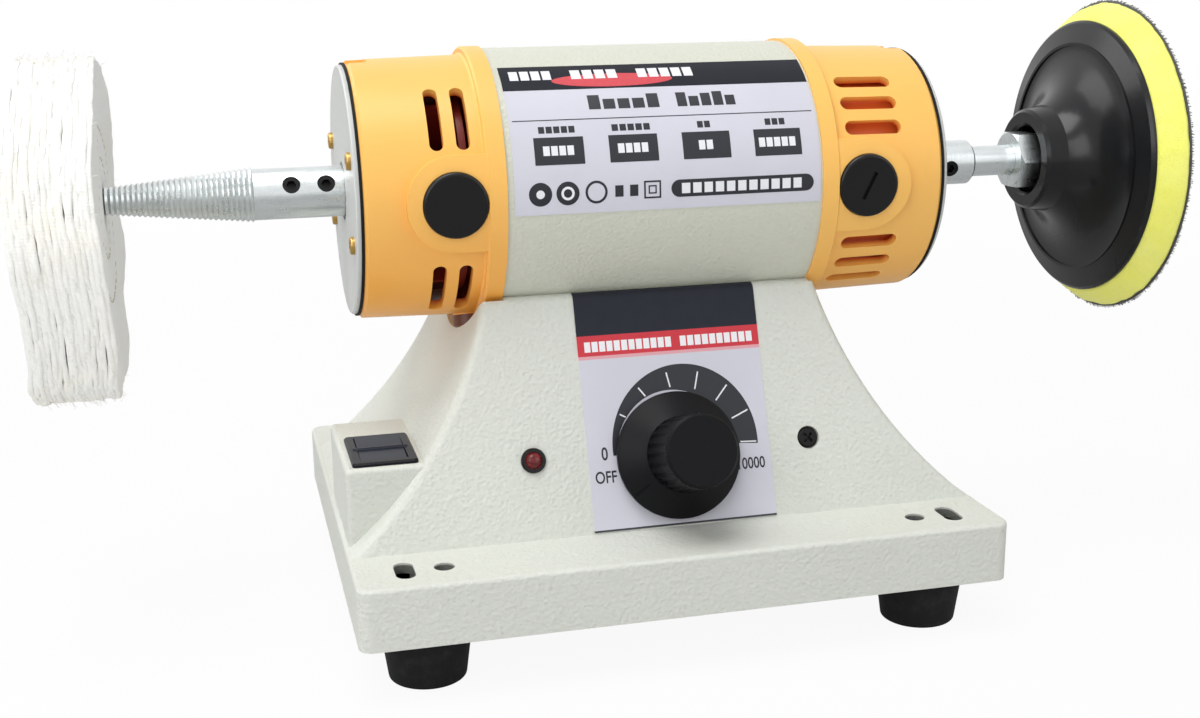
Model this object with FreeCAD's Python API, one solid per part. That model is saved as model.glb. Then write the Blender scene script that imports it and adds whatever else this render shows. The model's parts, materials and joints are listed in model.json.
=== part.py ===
"""Dental polishing lathe: a brushed motor on a flared cast stand, with a taper spindle and cotton
buff on the left end of the shaft and a hook-and-loop sanding pad on the right end.

Frame: +X along the motor shaft towards the pad, -Y towards the operator, +Z up. The origin is the
centre of the stand's footprint, on the surface that the rubber feet stand on. Millimetres.
"""
import FreeCAD, Part
import math
import os

V = FreeCAD.Vector

# ---------------------------------------------------------------- driving dimensions
# Clearances: past a cut face, where shapes join, in threads and seats, round a passing screw
CUT_OVER = 1.0
JOIN_OVER = 0.5
FIT_GAP = 0.05
PASS_GAP = 0.3
SHAFT_TO_BORE = 0.01

# Screw heads: rounded share of the height, length and half width of the cross as shares of the radius
HEAD_ROUND = 0.45
CROSS_REACH = 0.55
CROSS_HALF_W = 0.13

# Stand casting; the flat rim beside the tube sets how high the motor lies
BASE_W = 188.0
BASE_D = 157.0
BASE_CORNER_R = 4.0
BASE_EDGE_R = 1.2
FOOT_H = 16.0
SKIRT_H = 17.5
STAND_WALL = 3.0
LEDGE_D = 24.2
PANEL_LEAN = 19.8
PILLAR_H = 65.0
FLARE_W = 42.2
PILLAR_FOOT_INSET = 1.3
PILLAR_EDGE_R = 2.5
FLARE_R = 126.0
SADDLE_WALL = 5.0
SADDLE_RIM = 3.35

# Switch box on the left ledge, cast in one with the stand
BOX_H = 22.8
BOX_SETBACK = 8.5
BOX_D = 48.0
BOX_EDGE_R = 1.5

# Holes in the ledges
SLOT_INSET = 14.0
SLOT_W = 5.4
SLOT_L = 11.6
HOLE_FROM_SLOT = 10.8
HOLE_R = 2.85
LEDGE_HOLE_INSET = 12.1

# Feet and bottom plate
FOOT_INSET_X = 20.0
FOOT_INSET_Y = 18.0
FOOT_TOP_R = 13.0
FOOT_BOTTOM_R = 10.8
FOOT_EDGE_R = 1.0
FOOT_RECESS_R = 5.2
FOOT_RECESS_D = 8.0
PLATE_T = 1.5
PLATE_GAP = 0.4
BOSS_R = 4.0
FOOT_SCREW_R = 1.75
FOOT_SCREW_HEAD_R = 4.4
FOOT_SCREW_HEAD_T = 2.6
FOOT_PILOT_ROOF = 1.5
PLATE_SCREW_INSET = 9.5
PLATE_SCREW_R = 1.25
PLATE_SCREW_HEAD_R = 2.8
PLATE_SCREW_HEAD_T = 1.8
PLATE_SCREW_L = 11.0
PLATE_PILOT_ROOF = 4.0

# Rocker switch
ROCKER_FROM_SIDE = 11.5
ROCKER_W = 18.5
ROCKER_L = 27.0
ROCKER_FRONT_GAP = 1.6
BEZEL_T = 1.2
BEZEL_CORNER_R = 1.2
BEZEL_CHAMFER = 0.5
SWITCH_GAP = 0.1
SWITCH_BODY_INSET = 1.6
SWITCH_BODY_H = 14.0
SWITCH_WELL_D = 8.0
PADDLE_W = 13.0
PADDLE_L = 21.0
PADDLE_GAP = 0.25
PADDLE_RISE = 0.55
PADDLE_DIP_H = 0.4
PADDLE_SIDE_D = 2.0
PADDLE_SIDE_TAPER = 0.8
PADDLE_KEEL_W = 4.4
PADDLE_KEEL_D = 5.0
PADDLE_TILT = 4.0
PIVOT_RISE = 0.6
PIVOT_PIN_R = 1.0
PIVOT_PIN_REACH = 1.2

# Controls on the front panel
LAMP_X = -39.9
LAMP_H = 21.2
LAMP_BEZEL_R = 3.6
LAMP_BEZEL_T = 1.2
LAMP_BEZEL_CHAMFER = 0.5
LAMP_BODY_R = 3.0
LAMP_BODY_L = 7.0
LENS_R = 2.5
LENS_L = 6.0
LENS_RISE = 0.9
LENS_DOME_R = 2.9
LENS_DOME_TOP = 2.15
PANEL_SCREW_X = 43.4
PANEL_SCREW_H = 20.9
PANEL_SCREW_R = 1.45
PANEL_SCREW_L = 8.0
PANEL_SCREW_HEAD_R = 3.1
PANEL_SCREW_HEAD_T = 1.6
PANEL_SCREW_SINK = 2.0
KNOB_X = 2.4
KNOB_H = 19.2
KNOB_SKIRT_R = 18.4
KNOB_SKIRT_EDGE = 0.5
KNOB_RIM_T = 2.2
KNOB_RIM_BEVEL = 0.7
KNOB_GRIP_R = 11.0
KNOB_GRIP_ROOT = 1.2
KNOB_GRIP_TIP_R = 10.5
KNOB_GRIP_EDGE = 0.8
KNOB_CONE_H = 5.6
KNOB_TOTAL_H = 25.0
KNOB_LIFT = 1.4
KNOB_FLUTES = 24
KNOB_FLUTE_R = 0.95
KNOB_FLUTE_OUT = 0.33
KNOB_OFF_ANGLE = 216.0
KNOB_TOP_T = 3.5
KNOB_RECESS_R = 7.5
KNOB_RECESS_D = 3.4
KNOB_SCREW_H = 4.5
KNOB_SCREW_R = 1.45
KNOB_SCREW_L = 5.0
KNOB_SCREW_AF = 1.5
KNOB_SCREW_SOCKET_D = 1.5
POINTER_W = 0.7
POINTER_D = 0.35
POINTER_MARGIN = 1.0
POT_BODY_R = 8.2
POT_BODY_T = 9.0
POT_TAB_W = 12.0
POT_TAB_L = 3.0
POT_TAB_T = 1.5
POT_BUSH_R = 3.5
POT_BUSH_SPARE = 1.2
POT_SHAFT_R = 3.0
POT_SHAFT_ROOT = 2.5
POT_NUT_AF = 10.0
POT_NUT_T = 2.0
LABEL_X = 3.5
LABEL_W = 55.0
LABEL_T = 0.3
LABEL_FOOT = 0.4

# Electrics inside the stand
BOARD_X = -35.0
BOARD_Y = 0.0
BOARD_W = 58.0
BOARD_D = 44.0
BOARD_T = 1.6
STANDOFF_H = 6.0
STANDOFF_R = 3.0
STANDOFF_INSET = 4.0
BOARD_SCREW_R = 1.4
BOARD_SCREW_HEAD_R = 2.7
BOARD_SCREW_HEAD_T = 1.7
HEATSINK_W = 35.2
HEATSINK_H = 16.0
HEATSINK_Y = 10.0
HEATSINK_WALL = 3.0
HEATSINK_FINS = 7
FIN_T = 1.6
FIN_L = 5.0
CAPACITOR_X = -11.0
CAPACITOR_Y = -9.5
CAPACITOR_W = 18.0
CAPACITOR_D = 9.0
CAPACITOR_H = 15.0
CAPACITOR_EDGE_R = 1.0
CHOKE_X = 12.0
CHOKE_Y = -8.0
CHOKE_R = 6.5
CHOKE_THICK_R = 3.0
TERMINAL_W = 24.0
TERMINAL_D = 16.0
TERMINAL_H = 12.0
TERMINAL_POLES = 3
TERMINAL_PITCH = 8.0
TERMINAL_WELL_R = 2.2
TERMINAL_WELL_D = 7.0
TERMINAL_WELL_OUT = 4.5
LEAD_R = 1.2
LEAD_GAP = 4.4
LEAD_RISE = 6.0
LEAD_HOLE_R = 4.0
LEAD_HOLE_EDGE = 0.5
GLAND_X = -50.0
GLAND_R = 5.4
GLAND_BORE_R = 3.25
GLAND_NUT_LIP = 0.9
GLAND_NUT_T = 2.0
GLAND_FLANGE_R = 8.0
GLAND_FLANGE_T = 2.5
GLAND_TAIL = 22.0
GLAND_TAIL_ROOT = 0.6
GLAND_TAIL_WALL = 1.3
GLAND_GROOVES = 5
GLAND_GROOVE_START = 3.0
GLAND_GROOVE_PITCH = 3.2
GLAND_GROOVE_W = 1.2
GLAND_GROOVE_WALL = 1.2

# Motor tube and end covers; radii of the covers are given as steps from the tube
MOTOR_X = 2.5
TUBE_L = 93.0
TUBE_R = 40.0
TUBE_WALL = 2.0
SPIGOT_GAP = 0.1
SPIGOT_L = 6.0
COVER_L = 39.2
COVER_WALL = 2.6
COVER_STEP = 1.7
COVER_TAPER = 0.7
COVER_TIP_EDGE = 1.0
COVER_EDGE = 0.6
FLANGE_RISE = 0.7
FLANGE_L = 5.5
WEB_T = 5.0
WEB_MARGIN = 5.5
NOTCH_W = 12.0
NOTCH_L = 6.0
NOTCH_D = 1.4
BAFFLE_GAP = 2.1
BAFFLE_T = 1.4
BAFFLE_START = 6.5
BOSS_D_R = 13.5
BOSS_D_POS = 14.3
BOSS_D_RISE = 0.2
BOSS_INNER_R = 11.7
BOSS_INNER_LEFT = 1.3
BOSS_INNER_RIGHT = 8.3
CAP_R = 9.15
CAP_RISE = 0.9
CAP_HEAD_T = 2.0
CAP_EDGE_R = 0.9
CAP_BODY_R = 6.0
CAP_BODY_L = 4.9
CAP_GAP = 0.1
CAP_SLOT_W = 1.4
CAP_SLOT_D = 1.1
CAP_SLOT_L = 8.6
CAP_SLOT_ANGLE = -63.0
PLUG_BODY_R = 8.2
PLUG_EDGE_R = 0.9
SLOT_OVER = 1.5
SLOT_RING_W = 3.9
SLOT_RING_POS = (10.9, 18.3)
SLOT_RING_SPANS = ((22.5, 53.0), (-61.0, -28.0))
SLOT_AXIAL_W = 4.3
SLOT_AXIAL_SPAN = (8.8, 26.6)
SLOT_AXIAL_ANGLES = (25.3, 37.2, 49.0, -27.9, -40.2, -53.2)
LUG_R = 4.6
LUG_INSET = 3.4
LUG_ANGLE = -78.0
LUG_RISE = 1.8
LUG_GAP = 0.5
GASKET_T = 0.8
GASKET_INSET = 0.7
GASKET_LAP = 1.0
END_PLATE_T = 1.3
END_PLATE_INSET = 0.6
END_PLATE_EDGE = 0.4
END_PLATE_BORE_R = 8.6
END_SCREW_INSET = 6.8
END_SCREW_ANGLES = (23.5, 156.5, 203.5, 336.5)
END_SCREW_R = 1.5
END_SCREW_HEAD_R = 2.5
END_SCREW_HEAD_T = 1.3
TUBE_SCREW_OVER_RIM = 11.5
TUBE_SCREW_INSET = 3.2
TUBE_SCREW_R = 1.35
TUBE_SCREW_HEAD_R = 2.9
TUBE_SCREW_HEAD_T = 1.6
TUBE_SCREW_SPARE = 1.0
HEAD_LIFT = 0.1
MOUNT_SCREW_INSET = 20.5
MOUNT_SCREW_R = 2.4
MOUNT_SCREW_SPARE = 1.0
MOUNT_HEAD_R = 4.2
MOUNT_HEAD_T = 3.0
MOUNT_NUT_AF = 8.0
MOUNT_NUT_T = 3.6
MOUNT_NUT_LIFT = 0.3
RATING_INSETS = (2.0, 0.6)
RATING_ANGLES = (-5.5, 61.8)
RATING_T = 0.15
RATING_GLUE_T = 0.02

# Stator
STATOR_L = 34.0
STATOR_YOKE_T = 6.5
AIR_GAP = 0.6
STATOR_DEPTH = 16.7
POLE_HALF_ANGLE = 54.0
COIL_GAP = 0.3
COIL_SIDE_ANGLE = 1.5
COIL_HALF_ANGLE = 87.0
COIL_FROM_BORE = 1.7
COIL_FROM_YOKE = 1.5
COIL_OVERHANG = 6.5

# Rotor
SHAFT_R = 4.0
SHAFT_MID_R = 5.0
SHAFT_EDGE = 0.5
SHOULDER_GAP = 0.2
ARMATURE_SLOTS = 12
ARMATURE_SLOT_R = 2.2
ARMATURE_SLOT_DEPTH = 3.3
ARMATURE_SLOT_MOUTH = 1.4
WINDING_GAP = 0.1
WINDING_INSET = 1.9
WINDING_BORE_GAP = 0.5
WINDING_BEVEL = 3.0
WINDING_OVERHANG = 8.0
COMMUTATOR_R = 13.0
COMMUTATOR_L = 16.0
COMMUTATOR_BARS = 24
COMMUTATOR_CUT_W = 0.5
COMMUTATOR_CUT_D = 1.0
FAN_POS = (9.0, 21.0)
FAN_GAP = 4.3
FAN_HUB_R = 8.5
FAN_DISC_T = 2.0
FAN_BLADES = 10
FAN_BLADE_T = 1.4

# Ball bearings
BEARING_R = 11.0
BEARING_W = 7.0
BEARING_INNER_R = 6.3
BEARING_OUTER_R = 8.7
BEARING_SEAT = 33.0
BEARING_LIP = 1.6
BEARING_LIP_T = 1.5
BALL_R = 1.985
BALL_COUNT = 7
BALL_GAP = 0.045
CAGE_HALF_T = 0.4
CAGE_W = 5.2
BEARING_HOUSING_WALL = 3.4

# Brushes
BRUSH_X_W = 6.4
BRUSH_Z_W = 10.0
BRUSH_GAP = 0.1
BRUSH_WEAR = 3.0
HOLDER_R = 9.1
HOLDER_FROM_DRUM = 9.0
SPRING_SPACE = 6.0
SPRING_END_GAP = 0.1
SPRING_R = 2.4
SPRING_WIRE_R = 0.35
SPRING_TURNS = 5

# Taper spindle, left end
SPINDLE_R = 7.4
SPINDLE_L = 27.2
SPINDLE_EDGE = 0.4
TAPER_ROOT_R = 7.9
TAPER_TIP_R = 1.7
TAPER_TIP_EDGE = 0.5
TAPER_L = 64.5
THREAD_PITCH = 1.5
THREAD_DEPTH = 0.55
BORE_SPARE = 0.5
SPINDLE_CLEAR = 0.3
SPINDLE_BORE_DEPTH = 24.0
SET_SCREW_R = 2.5
SET_SCREW_AF = 2.5
SET_SCREW_SEAT = 0.02
SET_SCREW_SINK = 0.6
SET_SCREW_FLOOR = 1.0
SET_SCREW_ANGLE = 27.0
SET_SCREW_POS = (6.2, 16.1)

# Cotton buff
BUFF_R = 49.0
BUFF_T = 22.0
BUFF_SAG = 8.0
BUFF_OVER_TIP = 2.4
BUFF_EDGE_R = 5.0
BUFF_BORE_GAP = 0.3

# Pad coupling, right end; places are distances from the coupling's inner end
COUPLING_START_GAP = 0.3
COUPLING_R = 7.0
COUPLING_L = 26.0
COUPLING_EDGE = 1.0
COUPLING_BORE_DEPTH = 21.0
COUPLING_SCREW_FROM_END = 9.0
COUPLING_SCREW_ANGLE = -10.0
NECK_R = 4.8
NECK_L = 13.7
STUD_R = 5.0
STUD_L = 24.0
JAM_NUT_FROM_STUD = 1.0
JAM_NUT_AF = 17.0
JAM_NUT_T = 8.0
JAM_NUT_BEVEL_R = 1.2
JAM_NUT_BEVEL_T = 0.8
JAM_NUT_TURN = 30.0

# Sanding pad; distances along the axis start at the hub's free end
HUB_FROM_NUT = 5.4
HUB_R = 16.1
HUB_EDGE = 1.0
HUB_ROOT_R = 17.2
HUB_L = 6.6
HUB_RECESS_R = 10.8
HUB_RECESS_DEPTH = 8.8
INSERT_R = 8.2
INSERT_SHORT = 0.2
PAD_CONE_SAG_X = 1.6
PAD_CONE_SAG_R = 3.2
PAD_FLAT_R = 36.0
PAD_FLAT_L = 17.4
PAD_RIDGE_H = 0.5
PAD_RIDGE_W = 0.9
PAD_R = 43.9
PAD_RIM_L = 19.0
PAD_RIM_EDGE = 0.8
PAD_L = 20.6
FOAM_LIP = 0.5
FOAM_R = 50.0
FOAM_T = 7.5
FOAM_WAIST_SHARE = 0.45
FOAM_WAIST_IN = 0.5
HOOK_T = 1.2

# ---------------------------------------------------------------- derived places
LEDGE_Z = FOOT_H + SKIRT_H
PILLAR_TOP_Z = LEDGE_Z + PILLAR_H
PLATE_TOP_Z = FOOT_H + PLATE_T
FLOOR_Z = LEDGE_Z - STAND_WALL
LEAN = math.radians(PANEL_LEAN)
PILLAR_HALF_D = BASE_D / 2 - LEDGE_D
PILLAR_TOP_HALF_D = PILLAR_HALF_D - PILLAR_H * math.tan(LEAN)
PILLAR_FOOT_HALF_W = BASE_W / 2 - PILLAR_FOOT_INSET
PILLAR_TOP_HALF_W = PILLAR_FOOT_HALF_W - FLARE_W
AXIS_Z = PILLAR_TOP_Z + math.sqrt(TUBE_R ** 2 - (PILLAR_TOP_HALF_D - SADDLE_RIM) ** 2)
PANEL_NORMAL = V(0, -math.cos(LEAN), math.sin(LEAN))
LEDGE_HOLE_Y = BASE_D / 2 - LEDGE_HOLE_INSET
SLOT_X = BASE_W / 2 - SLOT_INSET
HOLE_X = SLOT_X - HOLE_FROM_SLOT
FOOT_X = BASE_W / 2 - FOOT_INSET_X
FOOT_Y = BASE_D / 2 - FOOT_INSET_Y
PLATE_SCREW_Y = BASE_D / 2 - PLATE_SCREW_INSET
TUBE_END = {-1: MOTOR_X - TUBE_L / 2, 1: MOTOR_X + TUBE_L / 2}
TUBE_BORE_R = TUBE_R - TUBE_WALL
TUBE_SCREW_ANGLE = math.degrees(math.asin((AXIS_Z - PILLAR_TOP_Z) / TUBE_R)) - TUBE_SCREW_OVER_RIM
MOUNT_XS = (TUBE_END[-1] + MOUNT_SCREW_INSET, TUBE_END[1] - MOUNT_SCREW_INSET)
SPIGOT_R = TUBE_BORE_R - SPIGOT_GAP
COVER_BORE_R = SPIGOT_R - COVER_WALL
COVER_R = TUBE_R - COVER_STEP
COVER_TIP_R = COVER_R - COVER_TAPER
FLANGE_R = TUBE_R + FLANGE_RISE
BOSS_D_TOP_R = TUBE_R + BOSS_D_RISE
BOSS_DEPTH = {-1: COVER_BORE_R - BOSS_INNER_LEFT, 1: COVER_BORE_R - BOSS_INNER_RIGHT}
LUG_TOP_R = TUBE_R + LUG_RISE
CAP_FACE = TUBE_R + CAP_RISE
CAP_SEAT = CAP_FACE - CAP_HEAD_T
GASKET_R = COVER_TIP_R - GASKET_INSET
END_PLATE_R = GASKET_R - END_PLATE_INSET
END_SCREW_PCR = END_PLATE_R - END_SCREW_INSET
WEB_R = END_SCREW_PCR - WEB_MARGIN
PLATE_FACE = COVER_L + GASKET_T + END_PLATE_T
BEARING_OUT = BEARING_SEAT + BEARING_W
BRUSH_X = TUBE_END[1] + BOSS_D_POS
BRUSH_REACH = COMMUTATOR_R + FIT_GAP
CAP_BODY_Y = CAP_SEAT - CAP_BODY_L
BRUSH_L = CAP_BODY_Y - COMMUTATOR_R - SPRING_SPACE
BALL_PCR = (BEARING_INNER_R + BEARING_OUTER_R) / 2
STATOR_X = (MOTOR_X - STATOR_L / 2, MOTOR_X + STATOR_L / 2)
STATOR_BORE_R = TUBE_BORE_R - STATOR_DEPTH
ARMATURE_R = STATOR_BORE_R - AIR_GAP
WINDING_R = ARMATURE_R - WINDING_INSET
YOKE_BORE_R = TUBE_BORE_R - STATOR_YOKE_T
ARMATURE_SLOT_PCR = ARMATURE_R - ARMATURE_SLOT_DEPTH
FAN_R = COVER_BORE_R - FAN_GAP
SPINDLE_X0 = TUBE_END[-1] - BEARING_OUT - SPINDLE_CLEAR
SPINDLE_X1 = SPINDLE_X0 - SPINDLE_L
TAPER_X1 = SPINDLE_X1 - TAPER_L
COUPLING_X0 = TUBE_END[1] + BEARING_OUT + COUPLING_START_GAP
COUPLING_X1 = COUPLING_X0 + COUPLING_L
STUD_X0 = COUPLING_X1 + NECK_L
STUD_X1 = STUD_X0 + STUD_L
JAM_NUT_X = STUD_X0 + JAM_NUT_FROM_STUD
JAM_NUT_X1 = JAM_NUT_X + JAM_NUT_T
SHAFT_X0 = SPINDLE_X0 - SPINDLE_BORE_DEPTH
SHAFT_X1 = COUPLING_X0 + COUPLING_BORE_DEPTH
HUB_X = JAM_NUT_X + HUB_FROM_NUT
PAD_BACK_X = HUB_X + PAD_L
HOOK_X = PAD_BACK_X + FOAM_T


# ---------------------------------------------------------------- helpers
def save(node, *solids):
    """Write one node; several solids stay separate inside it."""
    flat = [s for shape in solids for s in shape.Solids]
    out = flat[0] if len(flat) == 1 else Part.makeCompound(flat)
    out.exportStep("parts/" + node + ".step")


def box(x0, x1, y0, y1, z0, z1):
    return Part.makeBox(x1 - x0, y1 - y0, z1 - z0, V(x0, y0, z0))


def centred_box(x, width, y, depth, z0, z1):
    return box(x - width / 2, x + width / 2, y - depth / 2, y + depth / 2, z0, z1)


def prism(points, sweep):
    """Extrude a closed outline of points along a vector."""
    outline = Part.makePolygon([V(*p) for p in points] + [V(*points[0])])
    return Part.Face(outline).extrude(sweep)


def turned(profile, axis_z=0.0):
    """Solid of revolution about the X axis at height axis_z, from (x, r) points."""
    points = [V(x, 0, axis_z + r) for x, r in profile]
    face = Part.Face(Part.makePolygon(points + [points[0]]))
    return face.revolve(V(0, 0, axis_z), V(1, 0, 0), 360)


def rod_x(radius, x0, x1, y=0.0, z=AXIS_Z):
    return Part.makeCylinder(radius, x1 - x0, V(x0, y, z), V(1, 0, 0))


def ring_x(outer, inner, x0, x1):
    return rod_x(outer, x0, x1).cut(rod_x(inner, x0 - CUT_OVER, x1 + CUT_OVER))


def rod_y(radius, x, z, y0, y1):
    low, high = sorted((y0, y1))
    return Part.makeCylinder(radius, high - low, V(x, low, z), V(0, 1, 0))


def rod_z(radius, x, y, z0, z1):
    return Part.makeCylinder(radius, z1 - z0, V(x, y, z0))


def radial(angle):
    """Direction away from the motor axis; 0 is the front (-Y), 90 is up."""
    a = math.radians(angle)
    return V(0, -math.cos(a), math.sin(a))


def radial_rod(radius, x, angle, r0, r1):
    d = radial(angle)
    return Part.makeCylinder(radius, r1 - r0, V(x, 0, AXIS_Z) + d * r0, d)


def ring_sector(x0, x1, r0, r1, a0, a1):
    """Part of a ring about the motor axis between two angles."""
    d = radial(a0)
    centre = V(0, 0, AXIS_Z)
    corners = [centre + V(x, 0, 0) + d * r for x, r in ((x0, r0), (x1, r0), (x1, r1), (x0, r1))]
    face = Part.Face(Part.makePolygon(corners + [corners[0]]))
    return face.revolve(centre, V(-1, 0, 0), a1 - a0)


def about_axis(shape, angle):
    """Turn a shape about the motor axis."""
    shape.rotate(V(0, 0, AXIS_Z), V(1, 0, 0), angle)
    return shape


def hex_prism(across_flats, length, centre, direction):
    """Hexagonal bar with one corner up when its direction is X."""
    rotation = FreeCAD.Rotation(V(0, 0, 1), direction)
    r = across_flats / math.sqrt(3)
    angles = [math.radians(a) for a in range(0, 360, 60)]
    corners = [centre + rotation.multVec(V(r * math.cos(a), r * math.sin(a), 0)) for a in angles]
    return Part.Face(Part.makePolygon(corners + [corners[0]])).extrude(direction * length)


def place(shape, point, direction):
    """Move a shape drawn on the XY plane so that +Z lies along a direction."""
    moved = shape.copy()
    moved.Placement = FreeCAD.Placement(point, FreeCAD.Rotation(V(0, 0, 1), direction))
    return moved


def on_panel(shape, x, height):
    """Move a shape drawn on the XY plane, +Z outwards, to the front panel."""
    y = -(PILLAR_HALF_D - height * math.tan(LEAN))
    tilt = FreeCAD.Rotation(V(1, 0, 0), 90 - PANEL_LEAN)
    moved = shape.copy()
    moved.Placement = FreeCAD.Placement(V(x, y, LEDGE_Z + height), tilt).multiply(moved.Placement)
    return moved


def side_x(side, distance):
    """X of a point that lies this far outside the motor tube's left (-1) or right (1) end."""
    return TUBE_END[side] + side * distance


def span_x(side, d0, d1):
    """The same for a stretch, lower X first."""
    return sorted((side_x(side, d0), side_x(side, d1)))


def pan_screw(radius, head_radius, head_t, length):
    """Screw standing on the XY plane: shank below it, round head with a cross slot above it."""
    head = Part.makeCylinder(head_radius, head_t)
    top_edges = [e for e in head.Edges if e.BoundBox.ZMin > head_t / 2]
    head = head.makeFillet(head_t * HEAD_ROUND, top_edges)
    screw = head.fuse(Part.makeCylinder(radius, length, V(0, 0, -length)))
    reach = head_radius * CROSS_REACH
    half = head_radius * CROSS_HALF_W
    for turn in (45, 135):
        bar = box(-reach, reach, -half, half, head_t * HEAD_ROUND, head_t + CUT_OVER)
        bar.rotate(V(0, 0, 0), V(0, 0, 1), turn)
        screw = screw.cut(bar)
    return screw


# ---------------------------------------------------------------- stand
def flare_centre():
    """Centre of the flare's arc on the right side, in the XZ plane."""
    foot = V(PILLAR_FOOT_HALF_W, 0, LEDGE_Z)
    top = V(PILLAR_TOP_HALF_W, 0, PILLAR_TOP_Z)
    chord = top.sub(foot)
    outward = V(chord.z, 0, -chord.x).normalize()
    reach = math.sqrt(FLARE_R ** 2 - (chord.Length / 2) ** 2)
    return (foot + top) * 0.5 + outward * reach


def flare_x(z, inset):
    """Half width of the pillar at a height, at a depth under its surface."""
    centre = flare_centre()
    return centre.x - math.sqrt((FLARE_R + inset) ** 2 - (z - centre.z) ** 2)


def pillar(inset, z0, z1):
    """The flared pillar, or its hollow when inset is the wall."""
    y = -BASE_D / 2
    low, mid, top = (V(flare_x(z, inset), y, z) for z in (z0, (z0 + z1) / 2, z1))
    mirror = [V(-p.x, p.y, p.z) for p in (low, mid, top)]
    edges = [Part.Arc(low, mid, top).toShape(), Part.makeLine(top, mirror[2]),
             Part.Arc(mirror[2], mirror[1], mirror[0]).toShape(), Part.makeLine(mirror[0], low)]
    flare = Part.Face(Part.Wire(edges)).extrude(V(0, BASE_D, 0))
    d0, d1 = (PILLAR_HALF_D - (z - LEDGE_Z) * math.tan(LEAN) - inset / math.cos(LEAN) for z in (z0, z1))
    section = [(-BASE_W, -d0, z0), (-BASE_W, d0, z0), (-BASE_W, d1, z1), (-BASE_W, -d1, z1)]
    return flare.common(prism(section, V(2 * BASE_W, 0, 0)))


def leaning_edges(solid):
    """Edges between the pillar's panels and its flares or its top."""
    found = []
    for edge in solid.Edges:
        heights = [v.Z for v in edge.Vertexes]
        upper = min(heights) > PILLAR_TOP_Z - JOIN_OVER
        if max(heights) - min(heights) > PILLAR_H / 2:
            found.append(edge)
        elif upper and edge.BoundBox.XLength > edge.BoundBox.YLength:
            found.append(edge)
    return found


def base_block():
    block = box(-BASE_W / 2, BASE_W / 2, -BASE_D / 2, BASE_D / 2, FOOT_H, LEDGE_Z)
    upright = [e for e in block.Edges if e.BoundBox.ZLength > SKIRT_H / 2]
    block = block.makeFillet(BASE_CORNER_R, upright)
    rim = [e for e in block.Edges if e.BoundBox.ZMin > LEDGE_Z - BASE_EDGE_R]
    return block.makeFillet(BASE_EDGE_R, rim)


def box_places():
    """Left face, front face, back face and top of the switch box."""
    front = -(PILLAR_HALF_D - BOX_SETBACK)
    return -PILLAR_FOOT_HALF_W, front, front + BOX_D, LEDGE_Z + BOX_H


def switch_box(inset, z0):
    left, front, back, top = box_places()
    right = -flare_x(top, STAND_WALL) + 2 * STAND_WALL
    solid = box(left + inset, right, front + inset, back - inset, z0, top - inset)
    if inset:
        return solid
    near = BOX_EDGE_R / 2
    outer = [e for e in solid.Edges if e.BoundBox.XMax < left + near and e.BoundBox.ZMax > z0 + near]
    outer += [e for e in solid.Edges if e.BoundBox.ZMin > top - near and e.BoundBox.YLength < near]
    return solid.makeFillet(BOX_EDGE_R, outer)


def ledge_slots(grow, z0, z1):
    half = SLOT_L / 2 - SLOT_W / 2
    r = SLOT_W / 2 + grow
    cuts = []
    for sx in (-1, 1):
        for sy in (-1, 1):
            x, y = sx * SLOT_X, sy * LEDGE_HOLE_Y
            cuts.append(box(x - r, x + r, y - half, y + half, z0, z1))
            cuts.append(rod_z(r, x, y - half, z0, z1))
            cuts.append(rod_z(r, x, y + half, z0, z1))
            cuts.append(rod_z(HOLE_R + grow, sx * HOLE_X, y, z0, z1))
    return cuts


def foot_places():
    return [(sx * FOOT_X, sy * FOOT_Y) for sx in (-1, 1) for sy in (-1, 1)]


def plate_screw_places():
    return [(0, -PLATE_SCREW_Y), (0, PLATE_SCREW_Y)]


def lead_x():
    return TUBE_END[1] - SPIGOT_L - LEAD_HOLE_R - LEAD_HOLE_EDGE


def stand_body():
    """The casting with its hollows and screw bosses, before its holes are made."""
    pillar_outer = pillar(0, LEDGE_Z, PILLAR_TOP_Z)
    pillar_outer = pillar_outer.makeFillet(PILLAR_EDGE_R, leaning_edges(pillar_outer))
    body = base_block().fuse([pillar_outer, switch_box(0, LEDGE_Z)])
    half_w, half_d = BASE_W / 2 - STAND_WALL, BASE_D / 2 - STAND_WALL
    base_hollow = box(-half_w, half_w, -half_d, half_d, FOOT_H - CUT_OVER, FLOOR_Z)
    pillar_hollow = pillar(STAND_WALL, FLOOR_Z - JOIN_OVER, PILLAR_TOP_Z - STAND_WALL)
    pillar_hollow = pillar_hollow.cut(rod_x(TUBE_R + SADDLE_WALL, -BASE_W / 2, BASE_W / 2))
    body = body.cut([base_hollow, pillar_hollow, switch_box(STAND_WALL, FLOOR_Z - JOIN_OVER)])
    places = foot_places() + plate_screw_places()
    return body.fuse([rod_z(BOSS_R, x, y, PLATE_TOP_Z, FLOOR_Z + JOIN_OVER) for x, y in places])


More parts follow.
